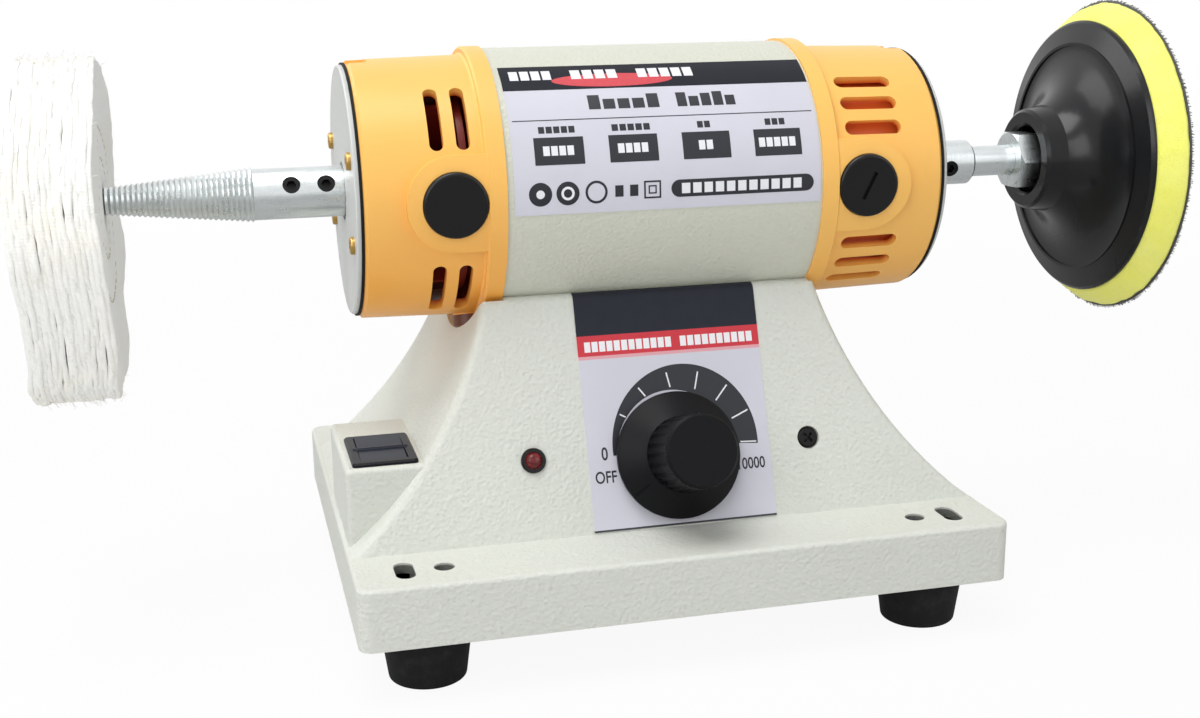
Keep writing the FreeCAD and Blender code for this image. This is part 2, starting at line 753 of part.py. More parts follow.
def stand_shell():
    cuts = [rod_x(TUBE_R + FIT_GAP, -BASE_W / 2, BASE_W / 2)]
    cuts += [rod_x(LUG_TOP_R + LUG_GAP, *span_x(side, -FIT_GAP, BASE_W / 2)) for side in (-1, 1)]
    cuts += ledge_slots(0, FLOOR_Z - CUT_OVER, LEDGE_Z + CUT_OVER)
    foot_pilot = (PLATE_TOP_Z - CUT_OVER, LEDGE_Z - FOOT_PILOT_ROOF)
    cuts += [rod_z(FOOT_SCREW_R + FIT_GAP, x, y, *foot_pilot) for x, y in foot_places()]
    plate_pilot = (PLATE_TOP_Z - CUT_OVER, LEDGE_Z - PLATE_PILOT_ROOF)
    cuts += [rod_z(PLATE_SCREW_R + FIT_GAP, x, y, *plate_pilot) for x, y in plate_screw_places()]
    cuts.append(switch_opening())
    through = 3 * STAND_WALL
    cuts.append(on_panel(rod_z(LAMP_BODY_R + FIT_GAP, 0, 0, -through, through), LAMP_X, LAMP_H))
    cuts.append(on_panel(rod_z(POT_BUSH_R + PASS_GAP, 0, 0, -through, through), KNOB_X, KNOB_H))
    head_sink = rod_z(PANEL_SCREW_HEAD_R + PASS_GAP, 0, 0, -PANEL_SCREW_SINK, through)
    screw_hole = rod_z(PANEL_SCREW_R + FIT_GAP, 0, 0, -through, 0)
    cuts.append(on_panel(head_sink.fuse(screw_hole), PANEL_SCREW_X, PANEL_SCREW_H))
    saddle_z = AXIS_Z - TUBE_R
    saddle = (saddle_z - SADDLE_WALL - CUT_OVER, saddle_z + CUT_OVER)
    cuts += [rod_z(MOUNT_SCREW_R + PASS_GAP, x, 0, *saddle) for x in MOUNT_XS]
    cuts.append(rod_z(LEAD_HOLE_R, lead_x(), 0, *saddle))
    wall_y = (BASE_D / 2 - STAND_WALL - CUT_OVER, BASE_D / 2 + CUT_OVER)
    cuts.append(rod_y(GLAND_R + FIT_GAP, GLAND_X, gland_z(), *wall_y))
    return stand_body().cut(cuts).removeSplitter()


def bottom_plate():
    side = STAND_WALL + PLATE_GAP
    half_w, half_d = BASE_W / 2 - side, BASE_D / 2 - side
    plate = box(-half_w, half_w, -half_d, half_d, FOOT_H, PLATE_TOP_Z)
    span = (FOOT_H - CUT_OVER, PLATE_TOP_Z + CUT_OVER)
    cuts = ledge_slots(PLATE_GAP, *span)
    cuts += [rod_z(FOOT_SCREW_R + PASS_GAP, x, y, *span) for x, y in foot_places()]
    cuts += [rod_z(PLATE_SCREW_R + PASS_GAP, x, y, *span) for x, y in plate_screw_places()]
    cuts += [rod_z(BOARD_SCREW_R + FIT_GAP, x, y, *span) for x, y in standoff_places()]
    return plate.cut(cuts)


def rubber_foot(x, y):
    body = Part.makeCone(FOOT_BOTTOM_R, FOOT_TOP_R, FOOT_H, V(x, y, 0))
    body = body.makeFillet(FOOT_EDGE_R, [e for e in body.Edges if e.BoundBox.ZMax < FOOT_EDGE_R])
    body = body.cut(rod_z(FOOT_RECESS_R, x, y, -CUT_OVER, FOOT_RECESS_D))
    return body.cut(rod_z(FOOT_SCREW_R + PASS_GAP, x, y, 0, FOOT_H + CUT_OVER))


def foot_screw(x, y):
    length = LEDGE_Z - FOOT_PILOT_ROOF - BORE_SPARE - FOOT_RECESS_D
    screw = pan_screw(FOOT_SCREW_R, FOOT_SCREW_HEAD_R, FOOT_SCREW_HEAD_T, length)
    return place(screw, V(x, y, FOOT_RECESS_D), V(0, 0, -1))


def plate_screw(x, y):
    screw = pan_screw(PLATE_SCREW_R, PLATE_SCREW_HEAD_R, PLATE_SCREW_HEAD_T, PLATE_SCREW_L)
    return place(screw, V(x, y, FOOT_H), V(0, 0, -1))


# ---------------------------------------------------------------- switch, lamp, knob, label
def rocker_centre():
    left, front, _, top = box_places()
    return V(left + ROCKER_FROM_SIDE, front + ROCKER_FRONT_GAP + ROCKER_L / 2, top + PIVOT_RISE)


def switch_body(grow, z0, z1):
    c = rocker_centre()
    inset = 2 * (SWITCH_BODY_INSET - grow)
    return centred_box(c.x, ROCKER_W - inset, c.y, ROCKER_L - inset, z0, z1)


def switch_opening():
    top = box_places()[3]
    return switch_body(SWITCH_GAP, top - 2 * STAND_WALL, top + CUT_OVER)


def switch_housing():
    c = rocker_centre()
    top = box_places()[3]
    bezel = centred_box(c.x, ROCKER_W, c.y, ROCKER_L, top, top + BEZEL_T)
    bezel = bezel.makeFillet(BEZEL_CORNER_R, [e for e in bezel.Edges if e.BoundBox.ZLength > BEZEL_T / 2])
    rim = [e for e in bezel.Edges if e.BoundBox.ZMin > top + BEZEL_T / 2]
    bezel = bezel.makeChamfer(BEZEL_CHAMFER, rim)
    body = switch_body(0, top - SWITCH_BODY_H, top)
    well = centred_box(c.x, PADDLE_W + 2 * PADDLE_GAP, c.y, PADDLE_L + 2 * PADDLE_GAP,
                       top - SWITCH_WELL_D, top + BEZEL_T + CUT_OVER)
    reach = PADDLE_W / 2 + PIVOT_PIN_REACH + SWITCH_GAP
    pin_hole = rod_x(PIVOT_PIN_R + FIT_GAP, c.x - reach, c.x + reach, c.y, c.z)
    return bezel.fuse(body).cut([well, pin_hole])


def rocker_paddle():
    c = rocker_centre()
    half = PADDLE_L / 2 - PADDLE_GAP / 2
    side = half - PADDLE_SIDE_TAPER
    keel = PADDLE_KEEL_W / 2
    outline = [(-half, PADDLE_RISE), (0, PADDLE_DIP_H), (half, PADDLE_RISE), (side, -PADDLE_SIDE_D),
               (keel, -PADDLE_KEEL_D), (-keel, -PADDLE_KEEL_D), (-side, -PADDLE_SIDE_D)]
    points = [(c.x - PADDLE_W / 2, c.y + y, c.z + z) for y, z in outline]
    reach = PADDLE_W / 2 + PIVOT_PIN_REACH
    pin = rod_x(PIVOT_PIN_R, c.x - reach, c.x + reach, c.y, c.z)
    paddle = prism(points, V(PADDLE_W, 0, 0)).fuse(pin)
    paddle.rotate(c, V(1, 0, 0), PADDLE_TILT)
    return paddle


def lamp_bezel():
    bezel = rod_z(LAMP_BEZEL_R, 0, 0, 0, LAMP_BEZEL_T)
    rim = [e for e in bezel.Edges if e.BoundBox.ZMin > LAMP_BEZEL_T / 2]
    bezel = bezel.makeChamfer(LAMP_BEZEL_CHAMFER, rim)
    bezel = bezel.fuse(rod_z(LAMP_BODY_R, 0, 0, -LAMP_BODY_L, 0))
    bore = rod_z(LENS_R + FIT_GAP, 0, 0, -LAMP_BODY_L - CUT_OVER, LAMP_BEZEL_T + CUT_OVER)
    return on_panel(bezel.cut(bore), LAMP_X, LAMP_H)


def lamp_lens():
    lens = rod_z(LENS_R, 0, 0, -LENS_L, LENS_RISE)
    ball = Part.makeSphere(LENS_DOME_R, V(0, 0, LENS_DOME_TOP - LENS_DOME_R))
    return on_panel(lens.fuse(ball.common(rod_z(LENS_R, 0, 0, 0, LENS_DOME_TOP))), LAMP_X, LAMP_H)


def panel_screw():
    screw = pan_screw(PANEL_SCREW_R, PANEL_SCREW_HEAD_R, PANEL_SCREW_HEAD_T, PANEL_SCREW_L)
    screw.translate(V(0, 0, -PANEL_SCREW_SINK))
    return on_panel(screw, PANEL_SCREW_X, PANEL_SCREW_H)


def dial_label():
    """Thin label on the panel that wraps over the pillar's rounded top edge."""
    slope = (PILLAR_H - PILLAR_EDGE_R * (1 - math.sin(LEAN))) / math.cos(LEAN)
    flat = on_panel(box(-LABEL_W / 2, LABEL_W / 2, LABEL_FOOT, slope, 0, LABEL_T), LABEL_X, 0)
    centre_z = PILLAR_TOP_Z - PILLAR_EDGE_R
    centre_y = -(PILLAR_HALF_D - (centre_z - LEDGE_Z) * math.tan(LEAN)) + PILLAR_EDGE_R / math.cos(LEAN)
    centre = V(LABEL_X - LABEL_W / 2, centre_y, centre_z)
    inner = centre + PANEL_NORMAL * PILLAR_EDGE_R
    outer = inner + PANEL_NORMAL * LABEL_T
    across = V(LABEL_W, 0, 0)
    strip = Part.Face(Part.makePolygon([inner, inner + across, outer + across, outer, inner]))
    label = flat.fuse(strip.revolve(centre, V(-1, 0, 0), 90 - PANEL_LEAN))
    hole = on_panel(rod_z(POT_BUSH_R + PASS_GAP, 0, 0, -CUT_OVER, CUT_OVER), KNOB_X, KNOB_H)
    return label.cut(hole).removeSplitter()


def potentiometer_body():
    back = -STAND_WALL
    body = rod_z(POT_BODY_R, 0, 0, back - POT_BODY_T, back)
    tab_top = back - POT_BODY_T / 3
    tabs = box(-POT_TAB_W / 2, POT_TAB_W / 2, -POT_BODY_R - POT_TAB_L, 0, tab_top - POT_TAB_T, tab_top)
    bush_top = LABEL_T + POT_NUT_T + POT_BUSH_SPARE
    bush = rod_z(POT_BUSH_R, 0, 0, back - CUT_OVER, bush_top)
    bore = rod_z(POT_SHAFT_R + FIT_GAP, 0, 0, back - POT_SHAFT_ROOT - BORE_SPARE, bush_top + CUT_OVER)
    return on_panel(body.fuse([tabs, bush]).cut(bore), KNOB_X, KNOB_H)


def potentiometer_nut():
    nut = hex_prism(POT_NUT_AF, POT_NUT_T, V(0, 0, LABEL_T), V(0, 0, 1))
    bore = rod_z(POT_BUSH_R + FIT_GAP, 0, 0, 0, LABEL_T + POT_NUT_T + CUT_OVER)
    return on_panel(nut.cut(bore), KNOB_X, KNOB_H)


def knob_bore_top():
    return KNOB_LIFT + KNOB_TOTAL_H - KNOB_TOP_T


def potentiometer_shaft():
    shaft = rod_z(POT_SHAFT_R, 0, 0, -STAND_WALL - POT_SHAFT_ROOT, knob_bore_top() - BORE_SPARE)
    return on_panel(shaft, KNOB_X, KNOB_H)


def knob_outline():
    """Radius and height of the knob's turned profile: flat skirt, cone, grip."""
    z0 = KNOB_LIFT
    grip_z = z0 + KNOB_CONE_H
    top = z0 + KNOB_TOTAL_H
    edge = KNOB_SKIRT_EDGE
    return [(0, z0), (KNOB_SKIRT_R - edge, z0), (KNOB_SKIRT_R, z0 + edge),
            (KNOB_SKIRT_R, z0 + KNOB_RIM_T - edge), (KNOB_SKIRT_R - KNOB_RIM_BEVEL, z0 + KNOB_RIM_T),
            (KNOB_GRIP_R + KNOB_GRIP_ROOT, grip_z), (KNOB_GRIP_R, grip_z + KNOB_GRIP_EDGE),
            (KNOB_GRIP_TIP_R, top - KNOB_GRIP_EDGE), (KNOB_GRIP_TIP_R - KNOB_GRIP_EDGE, top), (0, top)]


def knob_pointer():
    """Groove that runs down the skirt's cone."""
    rim_z = KNOB_LIFT + KNOB_RIM_T
    grip_z = KNOB_LIFT + KNOB_CONE_H
    inner, outer = KNOB_GRIP_R + KNOB_GRIP_ROOT + POINTER_MARGIN, KNOB_SKIRT_R - POINTER_MARGIN
    bar = box(inner, outer, -POINTER_W / 2, POINTER_W / 2, rim_z - POINTER_D, grip_z)
    under = Part.makeCone(KNOB_SKIRT_R - KNOB_RIM_BEVEL, KNOB_GRIP_R + KNOB_GRIP_ROOT,
                          KNOB_CONE_H - KNOB_RIM_T, V(0, 0, rim_z - POINTER_D))
    groove = bar.cut(under)
    groove.rotate(V(0, 0, 0), V(0, 0, 1), KNOB_OFF_ANGLE)
    return groove


def knob_screw_direction():
    a = math.radians(KNOB_OFF_ANGLE + 180 / KNOB_FLUTES)
    return V(math.cos(a), math.sin(a), 0)


def speed_knob():
    points = [V(r, 0, z) for r, z in knob_outline()]
    knob = Part.Face(Part.makePolygon(points + [points[0]])).revolve(V(0, 0, 0), V(0, 0, 1), 360)
    flute_z = KNOB_LIFT + KNOB_CONE_H + KNOB_GRIP_EDGE
    flute_top = KNOB_LIFT + KNOB_TOTAL_H + CUT_OVER
    r = KNOB_GRIP_R + KNOB_FLUTE_OUT
    cuts = [knob_pointer()]
    for i in range(KNOB_FLUTES):
        a = 2 * math.pi * i / KNOB_FLUTES
        cuts.append(rod_z(KNOB_FLUTE_R, r * math.cos(a), r * math.sin(a), flute_z, flute_top))
    cuts.append(rod_z(KNOB_RECESS_R, 0, 0, KNOB_LIFT - CUT_OVER, KNOB_LIFT + KNOB_RECESS_D))
    cuts.append(rod_z(POT_SHAFT_R + SHAFT_TO_BORE, 0, 0, KNOB_LIFT - CUT_OVER, knob_bore_top()))
    height = KNOB_LIFT + KNOB_CONE_H + KNOB_SCREW_H
    bore_r = KNOB_SCREW_R + FIT_GAP
    cuts.append(Part.makeCylinder(bore_r, KNOB_SKIRT_R, V(0, 0, height), knob_screw_direction()))
    return on_panel(knob.cut(cuts), KNOB_X, KNOB_H)


def knob_set_screw():
    d = knob_screw_direction()
    base = V(0, 0, KNOB_LIFT + KNOB_CONE_H + KNOB_SCREW_H) + d * POT_SHAFT_R
    screw = Part.makeCylinder(KNOB_SCREW_R, KNOB_SCREW_L, base, d)
    socket = hex_prism(KNOB_SCREW_AF, KNOB_SCREW_SOCKET_D + CUT_OVER,
                       base + d * (KNOB_SCREW_L - KNOB_SCREW_SOCKET_D), d)
    return on_panel(screw.cut(socket), KNOB_X, KNOB_H)


# ---------------------------------------------------------------- electrics in the stand
def gland_z():
    return (PLATE_TOP_Z + FLOOR_Z) / 2


def cord_gland():
    """Strain relief in the back wall, with grooves that let its tail bend."""
    x, z = GLAND_X, gland_z()
    wall = BASE_D / 2
    nut_y = wall - STAND_WALL - GLAND_NUT_T
    flange_y = wall + GLAND_FLANGE_T
    body = rod_y(GLAND_R, x, z, nut_y, wall)
    nut = rod_y(GLAND_R + GLAND_NUT_LIP, x, z, nut_y, wall - STAND_WALL)
    flange = rod_y(GLAND_FLANGE_R, x, z, wall, flange_y)
    tail = Part.makeCone(GLAND_R + GLAND_TAIL_ROOT, GLAND_BORE_R + GLAND_TAIL_WALL, GLAND_TAIL,
                         V(x, flange_y, z), V(0, 1, 0))
    cuts = [rod_y(GLAND_BORE_R, x, z, nut_y - CUT_OVER, flange_y + GLAND_TAIL + CUT_OVER)]
    for i in range(GLAND_GROOVES):
        y = flange_y + GLAND_GROOVE_START + GLAND_GROOVE_PITCH * i
        groove = rod_y(GLAND_FLANGE_R, x, z, y, y + GLAND_GROOVE_W)
        cuts.append(groove.cut(rod_y(GLAND_BORE_R + GLAND_GROOVE_WALL, x, z, wall, flange_y + GLAND_TAIL)))
    return body.fuse([nut, flange, tail]).cut(cuts)


def standoff_places():
    dx = BOARD_W / 2 - STANDOFF_INSET
    dy = BOARD_D / 2 - STANDOFF_INSET
    return [(BOARD_X + sx * dx, BOARD_Y + sy * dy) for sx in (-1, 1) for sy in (-1, 1)]


def board_top():
    return PLATE_TOP_Z + STANDOFF_H + BOARD_T


def speed_board():
    board = centred_box(BOARD_X, BOARD_W, BOARD_Y, BOARD_D, board_top() - BOARD_T, board_top())
    return board.cut([rod_z(BOARD_SCREW_R + PASS_GAP, x, y, 0, AXIS_Z) for x, y in standoff_places()])


def board_fixings():
    """Standoffs on the bottom plate, and the screws that hold the board down on them."""
    length = STANDOFF_H + BOARD_T - BORE_SPARE
    screw = pan_screw(BOARD_SCREW_R, BOARD_SCREW_HEAD_R, BOARD_SCREW_HEAD_T, length)
    solids = []
    for x, y in standoff_places():
        post = rod_z(STANDOFF_R, x, y, PLATE_TOP_Z, PLATE_TOP_Z + STANDOFF_H)
        solids.append(post.cut(rod_z(BOARD_SCREW_R + FIT_GAP, x, y, PLATE_TOP_Z - CUT_OVER, board_top())))
        solids.append(place(screw, V(x, y, board_top()), V(0, 0, 1)))
    return solids


def board_heatsink():
    z0, z1 = board_top(), board_top() + HEATSINK_H
    x0, y0 = BOARD_X - HEATSINK_W / 2, BOARD_Y + HEATSINK_Y
    pitch = (HEATSINK_W - FIN_T) / (HEATSINK_FINS - 1)
    fin_xs = [x0 + pitch * i for i in range(HEATSINK_FINS)]
    fins = [box(x, x + FIN_T, y0 - FIN_L, y0, z0, z1) for x in fin_xs]
    return box(x0, x0 + HEATSINK_W, y0, y0 + HEATSINK_WALL, z0, z1).fuse(fins).removeSplitter()


def board_capacitor():
    x, y, z0 = BOARD_X + CAPACITOR_X, BOARD_Y + CAPACITOR_Y, board_top()
    block = centred_box(x, CAPACITOR_W, y, CAPACITOR_D, z0, z0 + CAPACITOR_H)
    return block.makeFillet(CAPACITOR_EDGE_R, block.Edges)


def board_choke():
    centre = V(BOARD_X + CHOKE_X, BOARD_Y + CHOKE_Y, board_top() + CHOKE_THICK_R)
    return Part.makeTorus(CHOKE_R, CHOKE_THICK_R, centre)


def terminal_block():
    x, top = lead_x(), PLATE_TOP_Z + TERMINAL_H
    block = centred_box(x, TERMINAL_W, 0, TERMINAL_D, PLATE_TOP_Z, top)
    first = x - TERMINAL_PITCH * (TERMINAL_POLES - 1) / 2
    depth = (top - TERMINAL_WELL_D, top + CUT_OVER)
    well_xs = [first + TERMINAL_PITCH * i for i in range(TERMINAL_POLES)]
    return block.cut([rod_z(TERMINAL_WELL_R, well_x, -TERMINAL_WELL_OUT, *depth) for well_x in well_xs])


def motor_leads():
    span = (PLATE_TOP_Z + TERMINAL_H, AXIS_Z - TUBE_BORE_R + LEAD_RISE)
    return [rod_z(LEAD_R, lead_x() + s * LEAD_GAP / 2, 0, *span) for s in (-1, 1)]


# ---------------------------------------------------------------- motor, standing parts
def tube_screw_places():
    places = []
    for side in (-1, 1):
        for turn in (-TUBE_SCREW_ANGLE, TUBE_SCREW_ANGLE):
            places.append((side_x(side, -TUBE_SCREW_INSET), 180 + turn))
    return places


def motor_tube():
    tube = ring_x(TUBE_R, TUBE_BORE_R, TUBE_END[-1], TUBE_END[1])
    low = AXIS_Z - TUBE_R
    span = (low - CUT_OVER, low + TUBE_WALL + CUT_OVER)
    cuts = [rod_z(MOUNT_SCREW_R + PASS_GAP, x, 0, *span) for x in MOUNT_XS]
    cuts.append(rod_z(LEAD_HOLE_R, lead_x(), 0, *span))
    reach = (TUBE_BORE_R - CUT_OVER, TUBE_R + CUT_OVER)
    cuts += [radial_rod(TUBE_SCREW_R + PASS_GAP, x, a, *reach) for x, a in tube_screw_places()]
    return tube.cut(cuts)


def tube_screws():
    length = TUBE_WALL + COVER_WALL + TUBE_SCREW_SPARE
    screw = pan_screw(TUBE_SCREW_R, TUBE_SCREW_HEAD_R, TUBE_SCREW_HEAD_T, length)
    seat = TUBE_R + HEAD_LIFT
    return [place(screw, V(x, 0, AXIS_Z) + radial(a) * seat, radial(a)) for x, a in tube_screw_places()]


def mount_screws():
    z = AXIS_Z - TUBE_R - SADDLE_WALL - HEAD_LIFT
    length = SADDLE_WALL + TUBE_WALL + MOUNT_NUT_T + MOUNT_SCREW_SPARE
    screw = pan_screw(MOUNT_SCREW_R, MOUNT_HEAD_R, MOUNT_HEAD_T, length)
    return [place(screw, V(x, 0, z), V(0, 0, -1)) for x in MOUNT_XS]


def mount_nuts():
    z = AXIS_Z - TUBE_BORE_R + MOUNT_NUT_LIFT
    nuts = []
    for x in MOUNT_XS:
        nut = hex_prism(MOUNT_NUT_AF, MOUNT_NUT_T, V(x, 0, z), V(0, 0, 1))
        bore = rod_z(MOUNT_SCREW_R + FIT_GAP, x, 0, z - CUT_OVER, z + MOUNT_NUT_T + CUT_OVER)
        nuts.append(nut.cut(bore))
    return nuts


def rating_label():
    x0 = TUBE_END[-1] + RATING_INSETS[0]
    x1 = TUBE_END[1] - RATING_INSETS[1]
    r = TUBE_R + RATING_GLUE_T
    return ring_sector(x0, x1, r, r + RATING_T, *RATING_ANGLES)


def cover_bosses(side):
    """D-shaped raised pads from the flange round the caps, and their bosses inside the cover."""
    x_c = side_x(side, BOSS_D_POS)
    reach = BOSS_D_R + CUT_OVER
    start = COVER_BORE_R - BOSS_D_R / 2
    pads = []
    for s in (-1, 1):
        y0, y1 = sorted((s * start, s * FLANGE_R))
        neck = box(*span_x(side, FLANGE_L / 2, BOSS_D_POS), y0, y1, AXIS_Z - BOSS_D_R, AXIS_Z + BOSS_D_R)
        pad = rod_y(BOSS_D_R, x_c, AXIS_Z, y0, y1).fuse(neck)
        pads.append(pad.common(ring_x(BOSS_D_TOP_R, COVER_BORE_R, x_c - reach, x_c + reach)))
        inner = rod_y(BOSS_INNER_R, x_c, AXIS_Z, s * BOSS_DEPTH[side], s * COVER_R)
        pads.append(inner.common(rod_x(COVER_R, x_c - reach, x_c + reach)))
    return pads


def cap_bores(side):
    """Through bore for the brush holders on the right; recesses with a seat for the plugs on the left."""
    x = side_x(side, BOSS_D_POS)
    end = FLANGE_R + CUT_OVER
    if side == 1:
        return [rod_y(CAP_R + CAP_GAP, x, AXIS_Z, -end, end)]
    recesses = [rod_y(CAP_R + CAP_GAP, x, AXIS_Z, s * CAP_SEAT, s * end) for s in (-1, 1)]
    return recesses + [rod_y(PLUG_BODY_R + CAP_GAP, x, AXIS_Z, -end, end)]


def ring_slots(side):
    """Slots that run part of the way round the cover, with round ends."""
    r = SLOT_RING_W / 2
    end = math.degrees(r / COVER_R)
    reach = (COVER_BORE_R - SLOT_OVER, FLANGE_R + SLOT_OVER)
    cuts = []
    for d in SLOT_RING_POS:
        x = side_x(side, d)
        for a0, a1 in SLOT_RING_SPANS:
            cuts.append(ring_sector(x - r, x + r, *reach, a0 + end, a1 - end))
            cuts += [radial_rod(r, x, a, *reach) for a in (a0 + end, a1 - end)]
    return cuts


def axial_slots(side):
    """Slots along the cover, with round ends."""
    r = SLOT_AXIAL_W / 2
    x0, x1 = span_x(side, SLOT_AXIAL_SPAN[0] + r, SLOT_AXIAL_SPAN[1] - r)
    low, high = COVER_BORE_R - SLOT_OVER, FLANGE_R + SLOT_OVER
    cuts = []
    for angle in SLOT_AXIAL_ANGLES:
        d = radial(angle)
        across = V(0, d.z, -d.y) * r
        near = V(x0, 0, AXIS_Z) + d * low
        far = near + V(x1 - x0, 0, 0)
        corners = [near + across, near - across, far - across, far + across, near + across]
        cuts.append(Part.Face(Part.makePolygon(corners)).extrude(d * (high - low)))
        cuts += [radial_rod(r, x, angle, low, high) for x in (x0, x1)]
    return cuts


def end_screw_holes(side, radius):
    x0, x1 = span_x(side, COVER_L - WEB_T - CUT_OVER, PLATE_FACE + CUT_OVER)
    holes = []
    for angle in END_SCREW_ANGLES:
        d = radial(angle) * END_SCREW_PCR
        holes.append(rod_x(radius, x0, x1, d.y, AXIS_Z + d.z))
    return holes


def cover_outline():
    """Distance outside the tube's end and radius of the cover's turned profile."""
    web = COVER_L - WEB_T
    return [(-SPIGOT_L, COVER_BORE_R), (-SPIGOT_L, SPIGOT_R), (0, SPIGOT_R), (0, FLANGE_R),
            (FLANGE_L - COVER_EDGE, FLANGE_R), (FLANGE_L, FLANGE_R - COVER_EDGE),
            (FLANGE_L, COVER_R + COVER_EDGE), (FLANGE_L + COVER_EDGE, COVER_R),
            (COVER_L - COVER_TIP_EDGE, COVER_TIP_R), (COVER_L, COVER_TIP_R - COVER_TIP_EDGE),
            (COVER_L, WEB_R), (web, WEB_R), (web, COVER_BORE_R)]


def baffle(side):
    """Ring inside the cover that shields the brush gear behind the slots."""
    r = COVER_BORE_R - BAFFLE_GAP
    return ring_x(r, r - BAFFLE_T, *span_x(side, BAFFLE_START, COVER_L - WEB_T / 2))


def end_cover(side):
    cover = turned([(side_x(side, d), r) for d, r in cover_outline()], AXIS_Z)
    cover = cover.fuse(cover_bosses(side))
    if side == -1:
        lug_x = side_x(side, FLANGE_L + LUG_R - LUG_INSET)
        cover = cover.fuse(radial_rod(LUG_R, lug_x, LUG_ANGLE, SPIGOT_R, LUG_TOP_R))
        slots = ring_slots(side)
    else:
        cover = cover.fuse(baffle(side))
        slots = axial_slots(side)
    cuts = slots + [s.mirror(V(0, 0, 0), V(0, 1, 0)) for s in slots]
    cuts += cap_bores(side)
    cuts += end_screw_holes(side, END_SCREW_R + FIT_GAP)
    notch = box(*span_x(side, COVER_L - NOTCH_L, COVER_L + CUT_OVER), -NOTCH_W / 2, NOTCH_W / 2,
                AXIS_Z + COVER_TIP_R - NOTCH_D, AXIS_Z + FLANGE_R)
    cuts.append(notch)
    cuts += [radial_rod(TUBE_SCREW_R + FIT_GAP, x, a, COVER_BORE_R - CUT_OVER, TUBE_R)
             for x, a in tube_screw_places() if (x - MOTOR_X) * side > 0]
    return cover.cut(cuts).removeSplitter()


def gasket_ring(side):
    ring = ring_x(GASKET_R, WEB_R + GASKET_LAP, *span_x(side, COVER_L, COVER_L + GASKET_T))
    return ring.cut(end_screw_holes(side, END_SCREW_R + PASS_GAP))


def end_plate(side):
    """Cover plate with the bearing's housing turned on its inner face."""
    housing_r = BEARING_R + BEARING_HOUSING_WALL
    lip_r = BEARING_R - BEARING_LIP
    lip_d = BEARING_SEAT - BEARING_LIP_T
    inner = COVER_L + GASKET_T
    outline = [(PLATE_FACE, END_PLATE_BORE_R), (PLATE_FACE, END_PLATE_R - END_PLATE_EDGE),
               (PLATE_FACE - END_PLATE_EDGE, END_PLATE_R), (inner, END_PLATE_R), (inner, housing_r),
               (lip_d, housing_r), (lip_d, lip_r), (BEARING_SEAT, lip_r), (BEARING_SEAT, BEARING_R),
               (BEARING_OUT, BEARING_R), (BEARING_OUT, END_PLATE_BORE_R)]
    plate = turned([(side_x(side, d), r) for d, r in outline], AXIS_Z)
    return plate.cut(end_screw_holes(side, END_SCREW_R + PASS_GAP))


def end_plate_screws():
    length = END_PLATE_T + GASKET_T + WEB_T
    screw = pan_screw(END_SCREW_R, END_SCREW_HEAD_R, END_SCREW_HEAD_T, length)
    screws = []
    for side in (-1, 1):
        for angle in END_SCREW_ANGLES:
            point = V(side_x(side, PLATE_FACE), 0, AXIS_Z) + radial(angle) * END_SCREW_PCR
            screws.append(place(screw, point, V(side, 0, 0)))
    return screws


def cap_head(x, s):
    """Round head of a cap, and the edge round its outer face; s is -1 on the front, 1 on the back."""
    head = rod_y(CAP_R, x, AXIS_Z, s * CAP_SEAT, s * CAP_FACE)
    middle = (CAP_SEAT + CAP_FACE) / 2
    rim = [e for e in head.Edges if e.BoundBox.Center.y * s > middle and e.BoundBox.XLength > CAP_R]
    return head, rim


def brush_cap(s):
    """Slotted screw cap over a brush."""
    head, rim = cap_head(BRUSH_X, s)
    body = rod_y(CAP_BODY_R, BRUSH_X, AXIS_Z, s * CAP_BODY_Y, s * CAP_SEAT)
    cap = head.makeFillet(CAP_EDGE_R, rim).fuse(body)
    y0, y1 = sorted((s * (CAP_FACE - CAP_SLOT_D), s * (CAP_FACE + CUT_OVER)))
    half_l, half_w = CAP_SLOT_L / 2, CAP_SLOT_W / 2
    slot = box(BRUSH_X - half_l, BRUSH_X + half_l, y0, y1, AXIS_Z - half_w, AXIS_Z + half_w)
    slot.rotate(V(BRUSH_X, 0, AXIS_Z), V(0, 1, 0), CAP_SLOT_ANGLE)
    return cap.cut(slot)


def blank_cap(s):
    """Plain plug that closes an unused boss of the left cover."""
    x = side_x(-1, BOSS_D_POS)
    head, rim = cap_head(x, s)
    body = rod_y(PLUG_BODY_R, x, AXIS_Z, s * BOSS_DEPTH[-1], s * CAP_SEAT)
    return head.makeFillet(PLUG_EDGE_R, rim).fuse(body)


def brush_holder(s):
    start = COMMUTATOR_R + HOLDER_FROM_DRUM
    body = rod_y(HOLDER_R, BRUSH_X, AXIS_Z, s * start, s * CAP_SEAT)
    y0, y1 = sorted((s * (start - CUT_OVER), s * CAP_SEAT))
    w, h = BRUSH_X_W / 2 + BRUSH_GAP, BRUSH_Z_W / 2 + BRUSH_GAP
    passage = box(BRUSH_X - w, BRUSH_X + w, y0, y1, AXIS_Z - h, AXIS_Z + h)
    mouth = rod_y(CAP_BODY_R + CAP_GAP, BRUSH_X, AXIS_Z, s * CAP_BODY_Y, s * (CAP_SEAT + CUT_OVER))
    return body.cut([passage, mouth])


def carbon_brush(s):
    """Block whose inner end is worn to the commutator's curve."""
    y0, y1 = sorted((s * (BRUSH_REACH - BRUSH_WEAR), s * (BRUSH_REACH + BRUSH_L)))
    w, h = BRUSH_X_W / 2, BRUSH_Z_W / 2
    block = box(BRUSH_X - w, BRUSH_X + w, y0, y1, AXIS_Z - h, AXIS_Z + h)
    return block.cut(rod_x(BRUSH_REACH, BRUSH_X - BRUSH_X_W, BRUSH_X + BRUSH_X_W))


